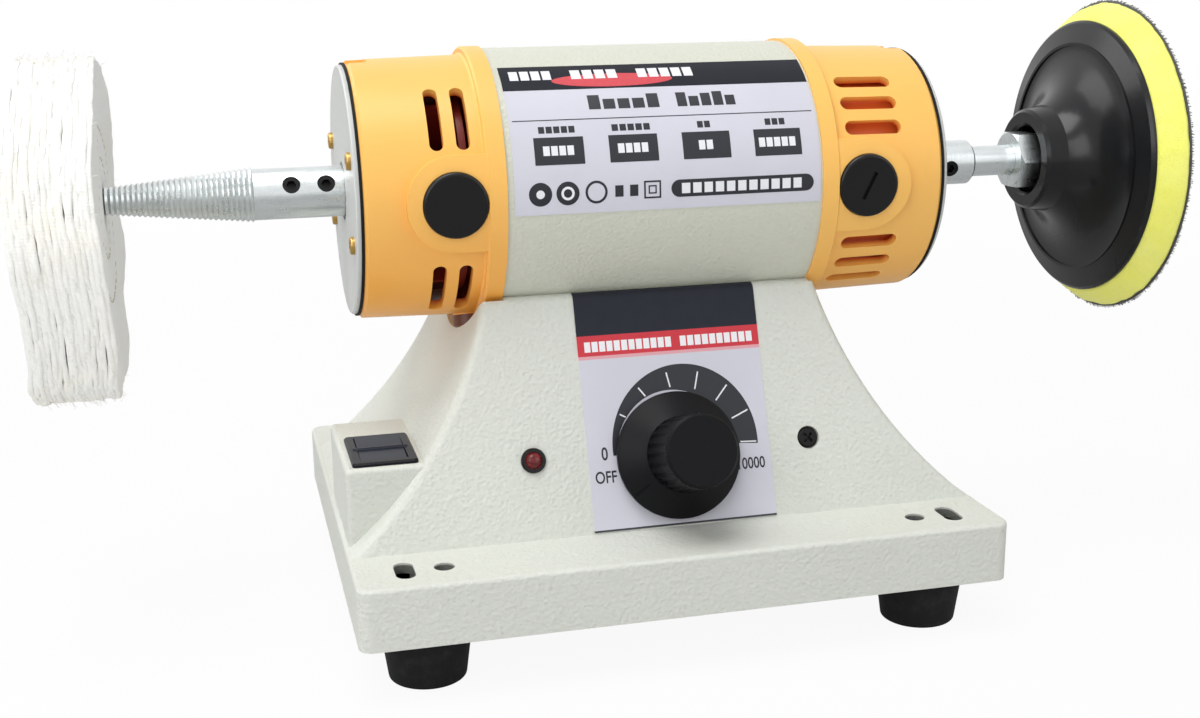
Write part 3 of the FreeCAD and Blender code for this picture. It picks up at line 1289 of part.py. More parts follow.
def brush_spring(s):
    """Coil spring between the brush and its cap."""
    y0 = BRUSH_REACH + BRUSH_L + SPRING_WIRE_R + SPRING_END_GAP
    y1 = CAP_BODY_Y - SPRING_WIRE_R - SPRING_END_GAP
    helix = Part.makeHelix((y1 - y0) / SPRING_TURNS, y1 - y0, SPRING_R)
    circle = Part.Wire(Part.makeCircle(SPRING_WIRE_R, V(SPRING_R, 0, 0), V(0, 1, 0)))
    coil = Part.Wire(helix).makePipeShell([circle], True, True)
    return place(coil, V(BRUSH_X, s * y0, AXIS_Z), V(0, s, 0))


def stator_core():
    """Laminated ring with an upper and a lower pole."""
    x0, x1 = STATOR_X
    core = ring_x(TUBE_BORE_R - FIT_GAP, STATOR_BORE_R, x0, x1)
    for turn in (0, 180):
        window = ring_sector(x0 - CUT_OVER, x1 + CUT_OVER, STATOR_BORE_R - CUT_OVER, YOKE_BORE_R,
                             90 + POLE_HALF_ANGLE + turn, 270 - POLE_HALF_ANGLE + turn)
        core = core.cut(window)
    return core


def field_coil(turn):
    """Coil round the upper (0) or lower (180) pole."""
    x0, x1 = STATOR_X
    middle = 90 + turn
    coil = ring_sector(x0 - COIL_OVERHANG, x1 + COIL_OVERHANG, STATOR_BORE_R + COIL_FROM_BORE,
                       YOKE_BORE_R - COIL_FROM_YOKE, middle - COIL_HALF_ANGLE, middle + COIL_HALF_ANGLE)
    half = POLE_HALF_ANGLE + COIL_SIDE_ANGLE
    span = (x0 - COIL_GAP, x1 + COIL_GAP)
    return coil.cut(ring_sector(*span, STATOR_BORE_R, TUBE_BORE_R, middle - half, middle + half))


# ---------------------------------------------------------------- rotor
def motor_shaft():
    x0, x1 = (side_x(side, BEARING_SEAT - SHOULDER_GAP) for side in (-1, 1))
    tip_r = SHAFT_R - SHAFT_EDGE
    outline = [(SHAFT_X0, 0), (SHAFT_X0, tip_r), (SHAFT_X0 + SHAFT_EDGE, SHAFT_R), (x0, SHAFT_R),
               (x0, SHAFT_MID_R), (x1, SHAFT_MID_R), (x1, SHAFT_R), (SHAFT_X1 - SHAFT_EDGE, SHAFT_R),
               (SHAFT_X1, tip_r), (SHAFT_X1, 0)]
    return turned(outline, AXIS_Z)


def armature_bars(radius, x0, x1):
    """One round bar in each armature slot."""
    bars = []
    for i in range(ARMATURE_SLOTS):
        d = radial(360 * i / ARMATURE_SLOTS) * ARMATURE_SLOT_PCR
        bars.append(rod_x(radius, x0, x1, d.y, AXIS_Z + d.z))
    return bars


def armature_core():
    x0, x1 = STATOR_X
    cuts = armature_bars(ARMATURE_SLOT_R, x0 - CUT_OVER, x1 + CUT_OVER)
    for i in range(ARMATURE_SLOTS):
        mouth = box(x0 - CUT_OVER, x1 + CUT_OVER, -ARMATURE_SLOT_MOUTH / 2, ARMATURE_SLOT_MOUTH / 2,
                    AXIS_Z + ARMATURE_SLOT_PCR, AXIS_Z + ARMATURE_R + CUT_OVER)
        cuts.append(about_axis(mouth, 90 - 360 * i / ARMATURE_SLOTS))
    return ring_x(ARMATURE_R, SHAFT_MID_R, x0, x1).cut(cuts)


def armature_winding():
    """Wire in the slots, with a bundle at each end of the core."""
    x0, x1 = STATOR_X[0] - WINDING_GAP, STATOR_X[1] + WINDING_GAP
    end = x0 - WINDING_OVERHANG
    hub = SHAFT_MID_R + WINDING_BORE_GAP
    left = [(x0, hub), (end + WINDING_BEVEL, hub), (end, hub + WINDING_BEVEL),
            (end, WINDING_R - WINDING_BEVEL), (end + WINDING_BEVEL, WINDING_R), (x0, WINDING_R)]
    right = [(x0 + x1 - x, r) for x, r in left]
    bars = armature_bars(ARMATURE_SLOT_R - WINDING_GAP, x0 - JOIN_OVER, x1 + JOIN_OVER)
    return turned(left, AXIS_Z).fuse([turned(right, AXIS_Z)] + bars)


def commutator():
    x0, x1 = BRUSH_X - COMMUTATOR_L / 2, BRUSH_X + COMMUTATOR_L / 2
    cuts = []
    for i in range(COMMUTATOR_BARS):
        cut = box(x0 - CUT_OVER, x1 + CUT_OVER, -COMMUTATOR_CUT_W / 2, COMMUTATOR_CUT_W / 2,
                  AXIS_Z + COMMUTATOR_R - COMMUTATOR_CUT_D, AXIS_Z + COMMUTATOR_R + CUT_OVER)
        cuts.append(about_axis(cut, 360 * (i + 0.5) / COMMUTATOR_BARS))
    return ring_x(COMMUTATOR_R, SHAFT_MID_R, x0, x1).cut(cuts)


def cooling_fan():
    x0, x1 = span_x(-1, *FAN_POS)
    blades = []
    for i in range(FAN_BLADES):
        blade = box(x0, x1 - FAN_DISC_T / 2, -FAN_BLADE_T / 2, FAN_BLADE_T / 2,
                    AXIS_Z + FAN_HUB_R - CUT_OVER, AXIS_Z + FAN_R)
        blades.append(about_axis(blade, 360 * i / FAN_BLADES))
    fan = rod_x(FAN_HUB_R, x0, x1).fuse([rod_x(FAN_R, x1 - FAN_DISC_T, x1)] + blades)
    return fan.common(ring_x(FAN_R, SHAFT_MID_R, x0, x1))


def bearing_mid(side):
    return side_x(side, BEARING_SEAT + BEARING_W / 2)


def bearing_ring(side, outer, inner):
    """One race of a bearing, with the groove that its balls run in."""
    x = bearing_mid(side)
    groove = place(Part.makeTorus(BALL_PCR, BALL_R + BALL_GAP), V(x, 0, AXIS_Z), V(1, 0, 0))
    return ring_x(outer, inner, x - BEARING_W / 2, x + BEARING_W / 2).cut(groove)


def ball_set(side):
    """Balls and the pressed cage round them."""
    x = bearing_mid(side)
    cage = ring_x(BALL_PCR + CAGE_HALF_T, BALL_PCR - CAGE_HALF_T, x - CAGE_W / 2, x + CAGE_W / 2)
    balls = []
    pockets = []
    for i in range(BALL_COUNT):
        centre = V(x, 0, AXIS_Z) + radial(360 * i / BALL_COUNT) * BALL_PCR
        balls.append(Part.makeSphere(BALL_R, centre))
        pockets.append(Part.makeSphere(BALL_R + BALL_GAP, centre))
    return [cage.cut(pockets)] + balls


def taper_radius(x):
    share = (SPINDLE_X1 - x) / TAPER_L
    return TAPER_ROOT_R + (TAPER_TIP_R - TAPER_ROOT_R) * share


def set_screw_xs():
    return [SPINDLE_X0 - d for d in SET_SCREW_POS]


def taper_spindle():
    """Sleeve on the shaft that ends in a tapered thread."""
    outline = [(SPINDLE_X0, 0), (SPINDLE_X0, SPINDLE_R - SPINDLE_EDGE),
               (SPINDLE_X0 - SPINDLE_EDGE, SPINDLE_R), (SPINDLE_X1 + SPINDLE_EDGE, SPINDLE_R)]
    for i in range(int(TAPER_L / THREAD_PITCH)):
        crest = SPINDLE_X1 - i * THREAD_PITCH
        root = crest - THREAD_PITCH / 2
        outline.append((crest, taper_radius(crest)))
        outline.append((root, taper_radius(root) - THREAD_DEPTH))
    outline += [(TAPER_X1, TAPER_TIP_R - TAPER_TIP_EDGE), (TAPER_X1, 0)]
    cuts = [rod_x(SHAFT_R + SHAFT_TO_BORE, SHAFT_X0 - BORE_SPARE, SPINDLE_X0 + CUT_OVER)]
    screw_r = SET_SCREW_R + FIT_GAP
    cuts += [radial_rod(screw_r, x, SET_SCREW_ANGLE, 0, SPINDLE_R + CUT_OVER) for x in set_screw_xs()]
    return turned(outline, AXIS_Z).cut(cuts)


def set_screw(x, angle, surface_r):
    base = SHAFT_R + SET_SCREW_SEAT
    top = surface_r - SET_SCREW_SINK
    d = radial(angle)
    floor = V(x, 0, AXIS_Z) + d * (base + SET_SCREW_FLOOR)
    socket = hex_prism(SET_SCREW_AF, top - base, floor, d)
    return radial_rod(SET_SCREW_R, x, angle, base, top).cut(socket)


def cotton_buff():
    x0 = TAPER_X1 + BUFF_OVER_TIP
    x1 = x0 + BUFF_T
    disc = rod_x(BUFF_R, x0, x1, 0, AXIS_Z - BUFF_SAG)
    disc = disc.makeFillet(BUFF_EDGE_R, [e for e in disc.Edges if e.BoundBox.ZLength > BUFF_R])
    ends = (x0 - CUT_OVER, x1 + CUT_OVER)
    bore = [(x, taper_radius(x) + BUFF_BORE_GAP) for x in ends]
    return disc.cut(turned([(ends[0], 0)] + bore + [(ends[1], 0)], AXIS_Z))


def coupling_screw_x():
    return COUPLING_X1 - COUPLING_SCREW_FROM_END


def pad_coupling():
    """Sleeve on the shaft that ends in a threaded stud."""
    edge_r = COUPLING_R - COUPLING_EDGE
    outline = [(COUPLING_X0, 0), (COUPLING_X0, edge_r), (COUPLING_X0 + COUPLING_EDGE, COUPLING_R),
               (COUPLING_X1 - COUPLING_EDGE, COUPLING_R), (COUPLING_X1, edge_r), (COUPLING_X1, NECK_R),
               (STUD_X0, NECK_R), (STUD_X0, STUD_R), (STUD_X1, STUD_R), (STUD_X1, 0)]
    cuts = [rod_x(SHAFT_R + SHAFT_TO_BORE, COUPLING_X0 - CUT_OVER, SHAFT_X1 + BORE_SPARE)]
    screw_r = SET_SCREW_R + FIT_GAP
    cuts.append(radial_rod(screw_r, coupling_screw_x(), COUPLING_SCREW_ANGLE, 0, COUPLING_R + CUT_OVER))
    return turned(outline, AXIS_Z).cut(cuts)


def jam_nut():
    nut = hex_prism(JAM_NUT_AF, JAM_NUT_T, V(JAM_NUT_X, 0, AXIS_Z), V(1, 0, 0))
    nut = about_axis(nut, JAM_NUT_TURN)
    corner = JAM_NUT_AF / math.sqrt(3)
    face_r = corner - JAM_NUT_BEVEL_R
    bevelled = [(JAM_NUT_X, 0), (JAM_NUT_X, face_r), (JAM_NUT_X + JAM_NUT_BEVEL_T, corner),
                (JAM_NUT_X1 - JAM_NUT_BEVEL_T, corner), (JAM_NUT_X1, face_r), (JAM_NUT_X1, 0)]
    bore = rod_x(STUD_R + FIT_GAP, JAM_NUT_X - CUT_OVER, JAM_NUT_X1 + CUT_OVER)
    return nut.common(turned(bevelled, AXIS_Z)).cut(bore)


def pad_backing():
    """Hub with a recess for the jam nut, a flared cone, a fine ridge and a flat rim."""
    recess_x = HUB_X + HUB_RECESS_DEPTH
    root_x = HUB_X + HUB_L
    flat_x = HUB_X + PAD_FLAT_L
    rim_x = HUB_X + PAD_RIM_L
    bore_r = INSERT_R + FIT_GAP
    before = [(HUB_X + HUB_EDGE, HUB_RECESS_R), (HUB_X, HUB_RECESS_R + HUB_EDGE), (HUB_X, HUB_R - HUB_EDGE),
              (HUB_X + HUB_EDGE, HUB_R), (root_x, HUB_ROOT_R)]
    after = [(flat_x, PAD_FLAT_R), (flat_x - PAD_RIDGE_H, PAD_FLAT_R),
             (flat_x - PAD_RIDGE_H, PAD_FLAT_R + PAD_RIDGE_W), (flat_x, PAD_FLAT_R + PAD_RIDGE_W),
             (rim_x, PAD_R - PAD_RIM_EDGE), (rim_x + PAD_RIM_EDGE, PAD_R), (PAD_BACK_X, PAD_R),
             (PAD_BACK_X, bore_r), (recess_x, bore_r), (recess_x, HUB_RECESS_R),
             (HUB_X + HUB_EDGE, HUB_RECESS_R)]
    middle = ((root_x + flat_x) / 2 + PAD_CONE_SAG_X, (HUB_ROOT_R + PAD_FLAT_R) / 2 - PAD_CONE_SAG_R)
    start, mid, end = (V(x, 0, AXIS_Z + r) for x, r in (before[-1], middle, after[0]))
    lines = []
    for chain in (before, after):
        points = [V(x, 0, AXIS_Z + r) for x, r in chain]
        lines.append([Part.makeLine(a, b) for a, b in zip(points, points[1:])])
    wire = Part.Wire(lines[0] + [Part.Arc(start, mid, end).toShape()] + lines[1])
    return Part.Face(wire).revolve(V(0, 0, AXIS_Z), V(1, 0, 0), 360)


def pad_insert():
    return ring_x(INSERT_R, STUD_R + FIT_GAP, JAM_NUT_X1, PAD_BACK_X - INSERT_SHORT)


def pad_foam():
    back_r = PAD_R + FOAM_LIP
    waist_x = PAD_BACK_X + FOAM_T * FOAM_WAIST_SHARE
    waist_r = (back_r + FOAM_R) / 2 - FOAM_WAIST_IN
    outline = [(PAD_BACK_X, 0), (PAD_BACK_X, back_r), (waist_x, waist_r), (HOOK_X, FOAM_R), (HOOK_X, 0)]
    return turned(outline, AXIS_Z)


def pad_hook_face():
    return rod_x(FOAM_R, HOOK_X, HOOK_X + HOOK_T)


# ---------------------------------------------------------------- write every node
def write_stand():
    save("stand_shell", stand_shell())
    save("bottom_plate", bottom_plate())
    save("rubber_feet", *[rubber_foot(x, y) for x, y in foot_places()])
    save("underside_screws", *[foot_screw(x, y) for x, y in foot_places()],
         *[plate_screw(x, y) for x, y in plate_screw_places()])
    save("power_switch_housing", switch_housing())
    save("power_rocker", rocker_paddle())
    save("lamp_bezel", lamp_bezel())
    save("lamp_lens", lamp_lens())
    save("panel_screw", panel_screw())
    save("dial_label", dial_label())
    save("potentiometer_body", potentiometer_body())
    save("potentiometer_nut", potentiometer_nut())
    save("potentiometer_shaft", potentiometer_shaft())
    save("speed_knob", speed_knob())
    save("knob_set_screw", knob_set_screw())
    save("speed_board", speed_board())
    save("board_fixings", *board_fixings())
    save("board_components", board_heatsink(), board_capacitor(), board_choke())
    save("terminal_block", terminal_block())
    save("motor_leads", *motor_leads())
    save("cord_gland", cord_gland())


def write_motor():
    save("motor_mount_screws", *mount_screws())
    save("motor_mount_nuts", *mount_nuts())
    save("motor_tube", motor_tube())
    save("tube_screws", *tube_screws())
    save("rating_label", rating_label())
    save("stator_core", stator_core())
    save("field_coils", field_coil(0), field_coil(180))
    for side, name in ((-1, "left"), (1, "right")):
        save(name + "_end_cover", end_cover(side))
        save(name + "_end_plate", end_plate(side))
    save("gasket_rings", gasket_ring(-1), gasket_ring(1))
    save("end_plate_screws", *end_plate_screws())
    save("bearing_outer_rings", *[bearing_ring(side, BEARING_R, BEARING_OUTER_R) for side in (-1, 1)])
    save("blank_caps", blank_cap(-1), blank_cap(1))
    save("brush_caps", brush_cap(-1), brush_cap(1))
    save("brush_holders", brush_holder(-1), brush_holder(1))


def write_moving_parts():
    for side, name in ((-1, "left"), (1, "right")):
        save(name + "_ball_set", *ball_set(side))
    for s, name in ((-1, "front"), (1, "back")):
        save("carbon_brush_" + name, carbon_brush(s))
        save("brush_spring_" + name, brush_spring(s))
    save("bearing_inner_rings", *[bearing_ring(side, BEARING_INNER_R, SHAFT_R) for side in (-1, 1)])
    save("motor_shaft", motor_shaft())
    save("armature_core", armature_core())
    save("armature_winding", armature_winding())
    save("commutator", commutator())
    save("cooling_fan", cooling_fan())
    save("taper_spindle", taper_spindle())
    screws = [set_screw(x, SET_SCREW_ANGLE, SPINDLE_R) for x in set_screw_xs()]
    save("shaft_set_screws", *screws, set_screw(coupling_screw_x(), COUPLING_SCREW_ANGLE, COUPLING_R))
    save("cotton_buff", cotton_buff())
    save("pad_coupling", pad_coupling())
    save("jam_nut", jam_nut())
    save("pad_backing", pad_backing())
    save("pad_insert", pad_insert())
    save("pad_foam", pad_foam())
    save("pad_hook_face", pad_hook_face())


def main():
    os.makedirs("parts", exist_ok=True)
    write_stand()
    write_motor()
    write_moving_parts()


main()
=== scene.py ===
"""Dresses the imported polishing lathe: paints, printed labels, cotton buff, sanding pad, stage."""
import json
import math

import bmesh
import bpy
from bpy.props import FloatProperty, FloatVectorProperty, IntProperty, PointerProperty
from bpy.types import Operator, Panel, PropertyGroup
from mathutils import Matrix, Vector, noise


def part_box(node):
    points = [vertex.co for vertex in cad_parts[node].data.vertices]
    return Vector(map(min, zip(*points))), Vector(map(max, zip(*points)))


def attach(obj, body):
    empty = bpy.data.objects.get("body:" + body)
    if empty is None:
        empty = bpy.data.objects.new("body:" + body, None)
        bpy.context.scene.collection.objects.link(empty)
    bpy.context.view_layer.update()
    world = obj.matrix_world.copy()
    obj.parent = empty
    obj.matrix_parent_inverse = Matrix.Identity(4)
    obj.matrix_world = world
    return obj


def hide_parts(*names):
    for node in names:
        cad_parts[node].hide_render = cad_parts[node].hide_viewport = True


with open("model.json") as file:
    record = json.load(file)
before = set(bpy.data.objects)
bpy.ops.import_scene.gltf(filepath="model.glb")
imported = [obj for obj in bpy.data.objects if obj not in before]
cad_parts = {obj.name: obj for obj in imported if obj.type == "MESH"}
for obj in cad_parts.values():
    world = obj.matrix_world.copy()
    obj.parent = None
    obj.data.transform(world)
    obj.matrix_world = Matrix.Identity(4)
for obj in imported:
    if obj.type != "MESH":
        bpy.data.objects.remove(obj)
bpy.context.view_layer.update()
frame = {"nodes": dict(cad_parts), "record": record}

bl_info = {
    "name": "Polishing Lathe",
    "version": (1, 0, 0),
    "blender": (4, 5, 0),
    "location": "View3D > Sidebar > Lathe",
    "description": "Finishes, labels, cotton buff and sanding pad for a bench polishing lathe",
    "category": "Object",
}

MM = 0.001
TUBE_LOW, TUBE_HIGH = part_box("motor_tube")
AXIS_Z = (TUBE_LOW[2] + TUBE_HIGH[2]) / 2
BUFF_LOW, BUFF_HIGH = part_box("cotton_buff")
BUFF_Z, BUFF_R = (BUFF_LOW[2] + BUFF_HIGH[2]) / 2, (BUFF_HIGH[2] - BUFF_LOW[2]) / 2
FOAM_LOW, FOAM_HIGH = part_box("pad_foam")
HOOK_LOW, HOOK_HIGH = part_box("pad_hook_face")
BACKING_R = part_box("pad_backing")[1][1]
SPINDLE_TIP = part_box("taper_spindle")[0][0]

# The sloping front of the stand: how far it leans back, the line where it leaves the ledge, and
# the ways up it and out of it.
FRONT_LEAN = math.radians(19.8)
FRONT_FOOT_Y, FRONT_FOOT_Z = -54.3 * MM, 33.5 * MM
FRONT_UP = Vector((0, math.sin(FRONT_LEAN), math.cos(FRONT_LEAN)))
FRONT_OUT = Vector((0, -math.cos(FRONT_LEAN), math.sin(FRONT_LEAN)))

# The ledge's holes: how near to the middle and how far from it they lie, along x and along y.
HOLES_X, HOLES_Y = (66.0 * MM, 83.0 * MM), (60.0 * MM, 72.8 * MM)

# The end covers, from the motor's axis: the wall's inside and outside, where the painted shade
# inside the cover gives way to the outer tone; how far up or down the notch and the lug begin;
# and the heights between which painted shade, darker orange below, turns to a paler lit tone.
COVER_WALL, NOTCH_UP, PAINTED_SHADE_HEIGHTS = (35.0 * MM, 37.2 * MM), 35.5 * MM, (-36.0 * MM, 12.0 * MM)
# The lug under the left cover, painted dark brown as shade: out past one radius beside the
# flange, or past the other.
LUG_X, LUG_R, LUG_PAST_FLANGE_R = TUBE_LOW[0] - 5.7 * MM, 38.6 * MM, 40.9 * MM

# The labels: film thickness, how deep ink goes into it in mm, the motor label's own radius, the
# radius that its arcs are counted at, and the arc where its header begins.
LABEL_THICK, INK_SUNK = 0.3 * MM, 0.01
RATING_R, ARC_R, HEADER_ARC = 40.17 * MM, 40.15 * MM, 33.0 * MM
# World heights where the front label's ground, pink line, red stripe and dark header begin.
GROUND_Z, PINK_Z, STRIPE_Z, HEADER_Z = 34.5 * MM, 80.6 * MM, 81.5 * MM, 87.1 * MM

# What the lights point at and what the camera looks at.
LIT, LOOK_AT = Vector((0, 0, 0.09)), Vector((-8.09 * MM, 0.0, 70.73 * MM))
WHITE = (1.0, 1.0, 1.0, 1.0)


# ---- sizes and colours


def linear(red, green, blue):
    """A screen colour in 0-255 as the linear values that the shaders take."""
    channels = []
    for value in (red, green, blue):
        value /= 255
        channels.append(value / 12.92 if value <= 0.04045 else ((value + 0.055) / 1.055) ** 2.4)
    return tuple(channels)


def length(name, millimetres, description):
    return FloatProperty(name=name, description=description, default=millimetres * MM,
                         min=0.0, unit="LENGTH", precision=5)


def whole(name, number, low, high, description):
    return IntProperty(name=name, description=description, default=number, min=low, max=high)


def angle_of(name, degrees, description):
    return FloatProperty(name=name, description=description, default=math.radians(degrees),
                         subtype="ANGLE")


def power_of(name, watts, description):
    return FloatProperty(name=name, description=description, default=watts, min=0.0,
                         subtype="POWER")


def colour(name, screen, description):
    return FloatVectorProperty(name=name, description=description, default=linear(*screen),
                               size=3, min=0.0, max=1.0, subtype="COLOR")


class LatheColours(PropertyGroup):
    stand: colour("Stand", (213, 216, 208), "Wrinkle paint on the cast stand")
    tube: colour("Tube", (207, 209, 195), "Smoother paint on the motor tube")
    covers: colour("End covers", (254, 194, 98), "Moulded plastic of both end covers")
    film: colour("Label film", (211, 211, 222), "Ground of both printed labels")
    header: colour("Label header", (33, 35, 43), "Dark bands of both printed labels")
    stripe: colour("Label stripe", (208, 68, 78), "Red stripe and accent on the labels")
    ink: colour("Ink", (30, 32, 40), "Figures and marks on the labels")
    knob: colour("Knob", (18, 19, 21), "Speed knob")
    switch: colour("Switch", (30, 36, 49), "Paddle of the rocker switch")
    rubber: colour("Rubber", (24, 25, 26), "Feet and cord gland")
    lens: colour("Lamp lens", (96, 6, 12), "Lamp lens in the stand's front")
    zinc: colour("Bright steel", (220, 225, 226), "Spindle, coupling and nuts")
    plate: colour("End plates", (205, 207, 205), "Painted end plates of the motor")
    brass: colour("Yellow plating", (196, 160, 92), "Screws in the end plates")
    backing: colour("Pad backing", (16, 17, 19), "Moulded backing of the sanding pad")
    foam: colour("Foam", (255, 255, 104), "Foam of the sanding pad")
    hooks: colour("Hooks", (88, 90, 84), "Hook face of the sanding pad")
    cotton: colour("Cotton", (250, 250, 246), "Plies of the cotton buff")
    # The fan's maroon is painted shade: it stands in for the shaded inside of the orange cover seen
    # through the slots.
    fan: colour("Fan", (150, 48, 32), "Moulded fan behind the left cover's slots")
    copper: colour("Copper wire", (186, 98, 48), "Field coils and armature winding")


class LatheSizes(PropertyGroup):
    plies: whole("Plies", 18, 4, 24, "Cotton plies in the buff")
    ply_wave: length("Ply wave", 2.3, "How far a ply's rim waves to either side")
    ply_fray: length("Ply fray", 1.8, "How unevenly a ply's rim is worn")
    threads: whole("Threads", 1300, 0, 1500, "Loose threads on the buff's rim")
    thread_long: length("Thread length", 4.2, "Longest loose thread on the buff")
    hook_count: whole("Hooks", 4600, 100, 7000, "Hooks on the sanding pad's face")
    hook_tall: length("Hook height", 0.62, "Height of one hook over its backing")
    foam_swell: length("Foam swell", 0.5, "How far the foam's rim bulges")
    ink_thick: length("Ink thickness", 0.04, "Thickness of the print on the labels")


class LatheStage(PropertyGroup):
    azimuth: angle_of("Azimuth", -14.28, "Camera's turn about the lathe")
    elevation: angle_of("Elevation", 14.31, "Camera's height as an angle")
    roll: angle_of("Roll", -0.69, "Camera's tilt about its own line of sight")
    distance: length("Distance", 491.46, "From the camera to the point it looks at")
    lens: FloatProperty(name="Lens", description="Focal length on a 36 mm wide sensor",
                        default=46.94, subtype="NONE", unit="CAMERA")
    key: power_of("Key light", 26.0, "Large soft light over the front")
    fill: power_of("Fill light", 3.3, "Soft light from the right")
    side: power_of("Side light", 3.0, "Soft light from the buff's side")
    sky: FloatProperty(name="Sky", description="Even light from all round", default=0.40, min=0.0)


# ---- node trees


def arithmetic(operation, swapped=False):
    """An operator for fields that adds a Math node, with the field first or, swapped, second."""

    def apply(field, other):
        pair = (other, field) if swapped else (field, other)
        return field.graph.maths(operation, *pair)

    return apply


class Field:
    """One socket's value, which Python's operators work on."""

    __add__ = __radd__ = arithmetic("ADD")
    __mul__ = __rmul__ = arithmetic("MULTIPLY")
    __sub__, __rsub__ = arithmetic("SUBTRACT"), arithmetic("SUBTRACT", True)
    __truediv__, __rtruediv__ = arithmetic("DIVIDE"), arithmetic("DIVIDE", True)
    __pow__ = arithmetic("POWER")

    def __init__(self, graph, socket):
        self.graph, self.socket = graph, socket

    def out(self, name):
        return Field(self.graph, self.socket.node.outputs[name])

    def maths(self, operation, *others):
        return self.graph.maths(operation, self, *others)

    def over(self, edge):
        """1 where the value is larger than the edge, otherwise 0."""
        return self.maths("GREATER_THAN", edge)

    def step(self, low, high):
        """0 below low, 1 above high, smooth between."""
        return self.graph.node("ShaderNodeMapRange", {"interpolation_type": "SMOOTHSTEP"},
                               {"Value": self, "From Min": low, "From Max": high})


class Graph:
    """A node tree, with one method that adds any node."""

    def __init__(self, tree):
        self.tree = tree

    def node(self, kind, settings=None, sockets=None, output=0):
        new = self.tree.nodes.new(kind)
        for name, value in (settings or {}).items():
            setattr(new, name, value)
        for key, value in (sockets or {}).items():
            if isinstance(value, Field):
                self.tree.links.new(value.socket, new.inputs[key])
            else:
                new.inputs[key].default_value = value
        return Field(self, new.outputs[output]) if new.outputs else None

    def maths(self, operation, *values):
        return self.node("ShaderNodeMath", {"operation": operation}, dict(enumerate(values)))

    def combine(self, x, y, z):
        return self.node("ShaderNodeCombineXYZ", None, {0: x, 1: y, 2: z})


def emptied_tree(owner):
    """The node tree of a material or world, without the nodes that it starts with."""
    owner.use_nodes = True
    owner.node_tree.nodes.clear()
    return owner.node_tree


def scaled(channels, share):
    return [channel * share for channel in channels]


class Finish(Graph):
    """A material whose colour, gloss and relief read the piece's own place in metres."""

    def __init__(self, name, base, rough=0.5, metal=0.0, **constants):
        self.material = bpy.data.materials.new(name)
        super().__init__(emptied_tree(self.material))
        self.base = tuple(base)
        sockets = {"Base Color": self.base + (1.0,), "Roughness": rough, "Metallic": metal}
        sockets.update({key.replace("_", " "): value for key, value in constants.items()})
        self.shader = self.node("ShaderNodeBsdfPrincipled", None, sockets)
        self.node("ShaderNodeOutputMaterial", None, {"Surface": self.shader})
        self.place = self.node("ShaderNodeTexCoord", output="Object")
        split = self.node("ShaderNodeSeparateXYZ", None, {0: self.place})
        self.x, self.y, self.z = split, split.out("Y"), split.out("Z")

    def feed(self, socket, field):
        self.tree.links.new(field.socket, self.shader.socket.node.inputs[socket])

    def stretched(self, along_x, along_y, along_z):
        """The piece's place, drawn out along an axis by a number under 1."""
        return self.node("ShaderNodeMapping", {"vector_type": "POINT"},
                         {"Vector": self.place, "Scale": (along_x, along_y, along_z)})

    def from_axis(self):
        """Height over the motor's axis, and distance from it."""
        up = self.z - AXIS_Z
        return up, (self.y * self.y + up * up) ** 0.5

    def turned(self):
        """Place along and out from the motor's axis, so that a pattern makes rings."""
        return self.combine(self.x, self.from_axis()[1], 0.0)

    def turn(self):
        """Angle about the motor's axis, 0 at the front."""
        return (self.z - AXIS_Z).maths("ARCTAN2", self.y * -1.0)

    def grain(self, size, detail=2.0, place=None, rough=0.5):
        return self.node("ShaderNodeTexNoise", None,
                         {"Vector": place or self.place, "Scale": 1 / size,
                          "Detail": detail, "Roughness": rough}, "Fac")

    def cells(self, size, feature="F1", place=None):
        return self.node("ShaderNodeTexVoronoi", {"feature": feature},
                         {"Vector": place or self.place, "Scale": 1 / size}, "Distance")

    def inside(self, value, near, far):
        """1 where a place lies between two distances from the middle, on either side."""
        reach = value.maths("ABSOLUTE")
        return reach.over(near) * (far - reach).over(0.0)

    def waves(self, value, pitch):
        return (value * (2 * math.pi / pitch)).maths("SINE") * 0.5 + 0.5

    def mix(self, factor, first, second):
        colours = [c if isinstance(c, Field) else tuple(c) + (1.0,) for c in (first, second)]
        return self.node("ShaderNodeMix", {"data_type": "RGBA", "clamp_factor": True},
                         {0: factor, 6: colours[0], 7: colours[1]}, 2)

    def tone(self, mask, spread, base=None):
        """The base colour, darker where the mask is 0 and lighter where it is 1."""
        base = base or self.base
        return self.mix(mask, scaled(base, 1 - spread),
                        [min(1.0, channel) for channel in scaled(base, 1 + spread)])

    def coat(self, shown, rough, height=None, depth=0.0):
        """Feed the colour, the roughness and, where a height is given, a relief this deep."""
        self.feed("Base Color", shown)
        self.feed("Roughness", rough)
        if height is not None:
            self.feed("Normal", self.node("ShaderNodeBump", None,
                                          {"Distance": depth, "Height": height}))
        return self


# ---- finishes


def wrinkle_paint(name, base, crinkle, depth, rough, holes=False):
    """Sprayed paint that dries in small smooth lumps; inside the ledge's holes a dark grey is
    painted shade.
    """
    finish = Finish(name, base, rough, Specular_IOR_Level=0.45)
    lumps = finish.cells(crinkle, "SMOOTH_F1") * 0.8 + finish.grain(crinkle * 1.5, 3.0) * 0.9
    dust = finish.grain(0.030, 4.0, rough=0.6)
    painted = finish.tone(lumps * 0.5 + dust * 0.6, 0.05)
    if holes:
        # Painted shade: the insides of the ledge's holes, below the ledge, are a darker grey.
        painted_hole_shade = finish.inside(finish.x, *HOLES_X) * finish.inside(finish.y, *HOLES_Y)
        painted_hole_shade = painted_hole_shade * (FRONT_FOOT_Z - finish.z).step(0.0003, 0.0008)
        painted = finish.mix(painted_hole_shade, painted, finish.tone(dust, 0.2, linear(112, 115, 109)))
    return finish.coat(painted, rough - 0.08 + dust * 0.16, lumps, depth)


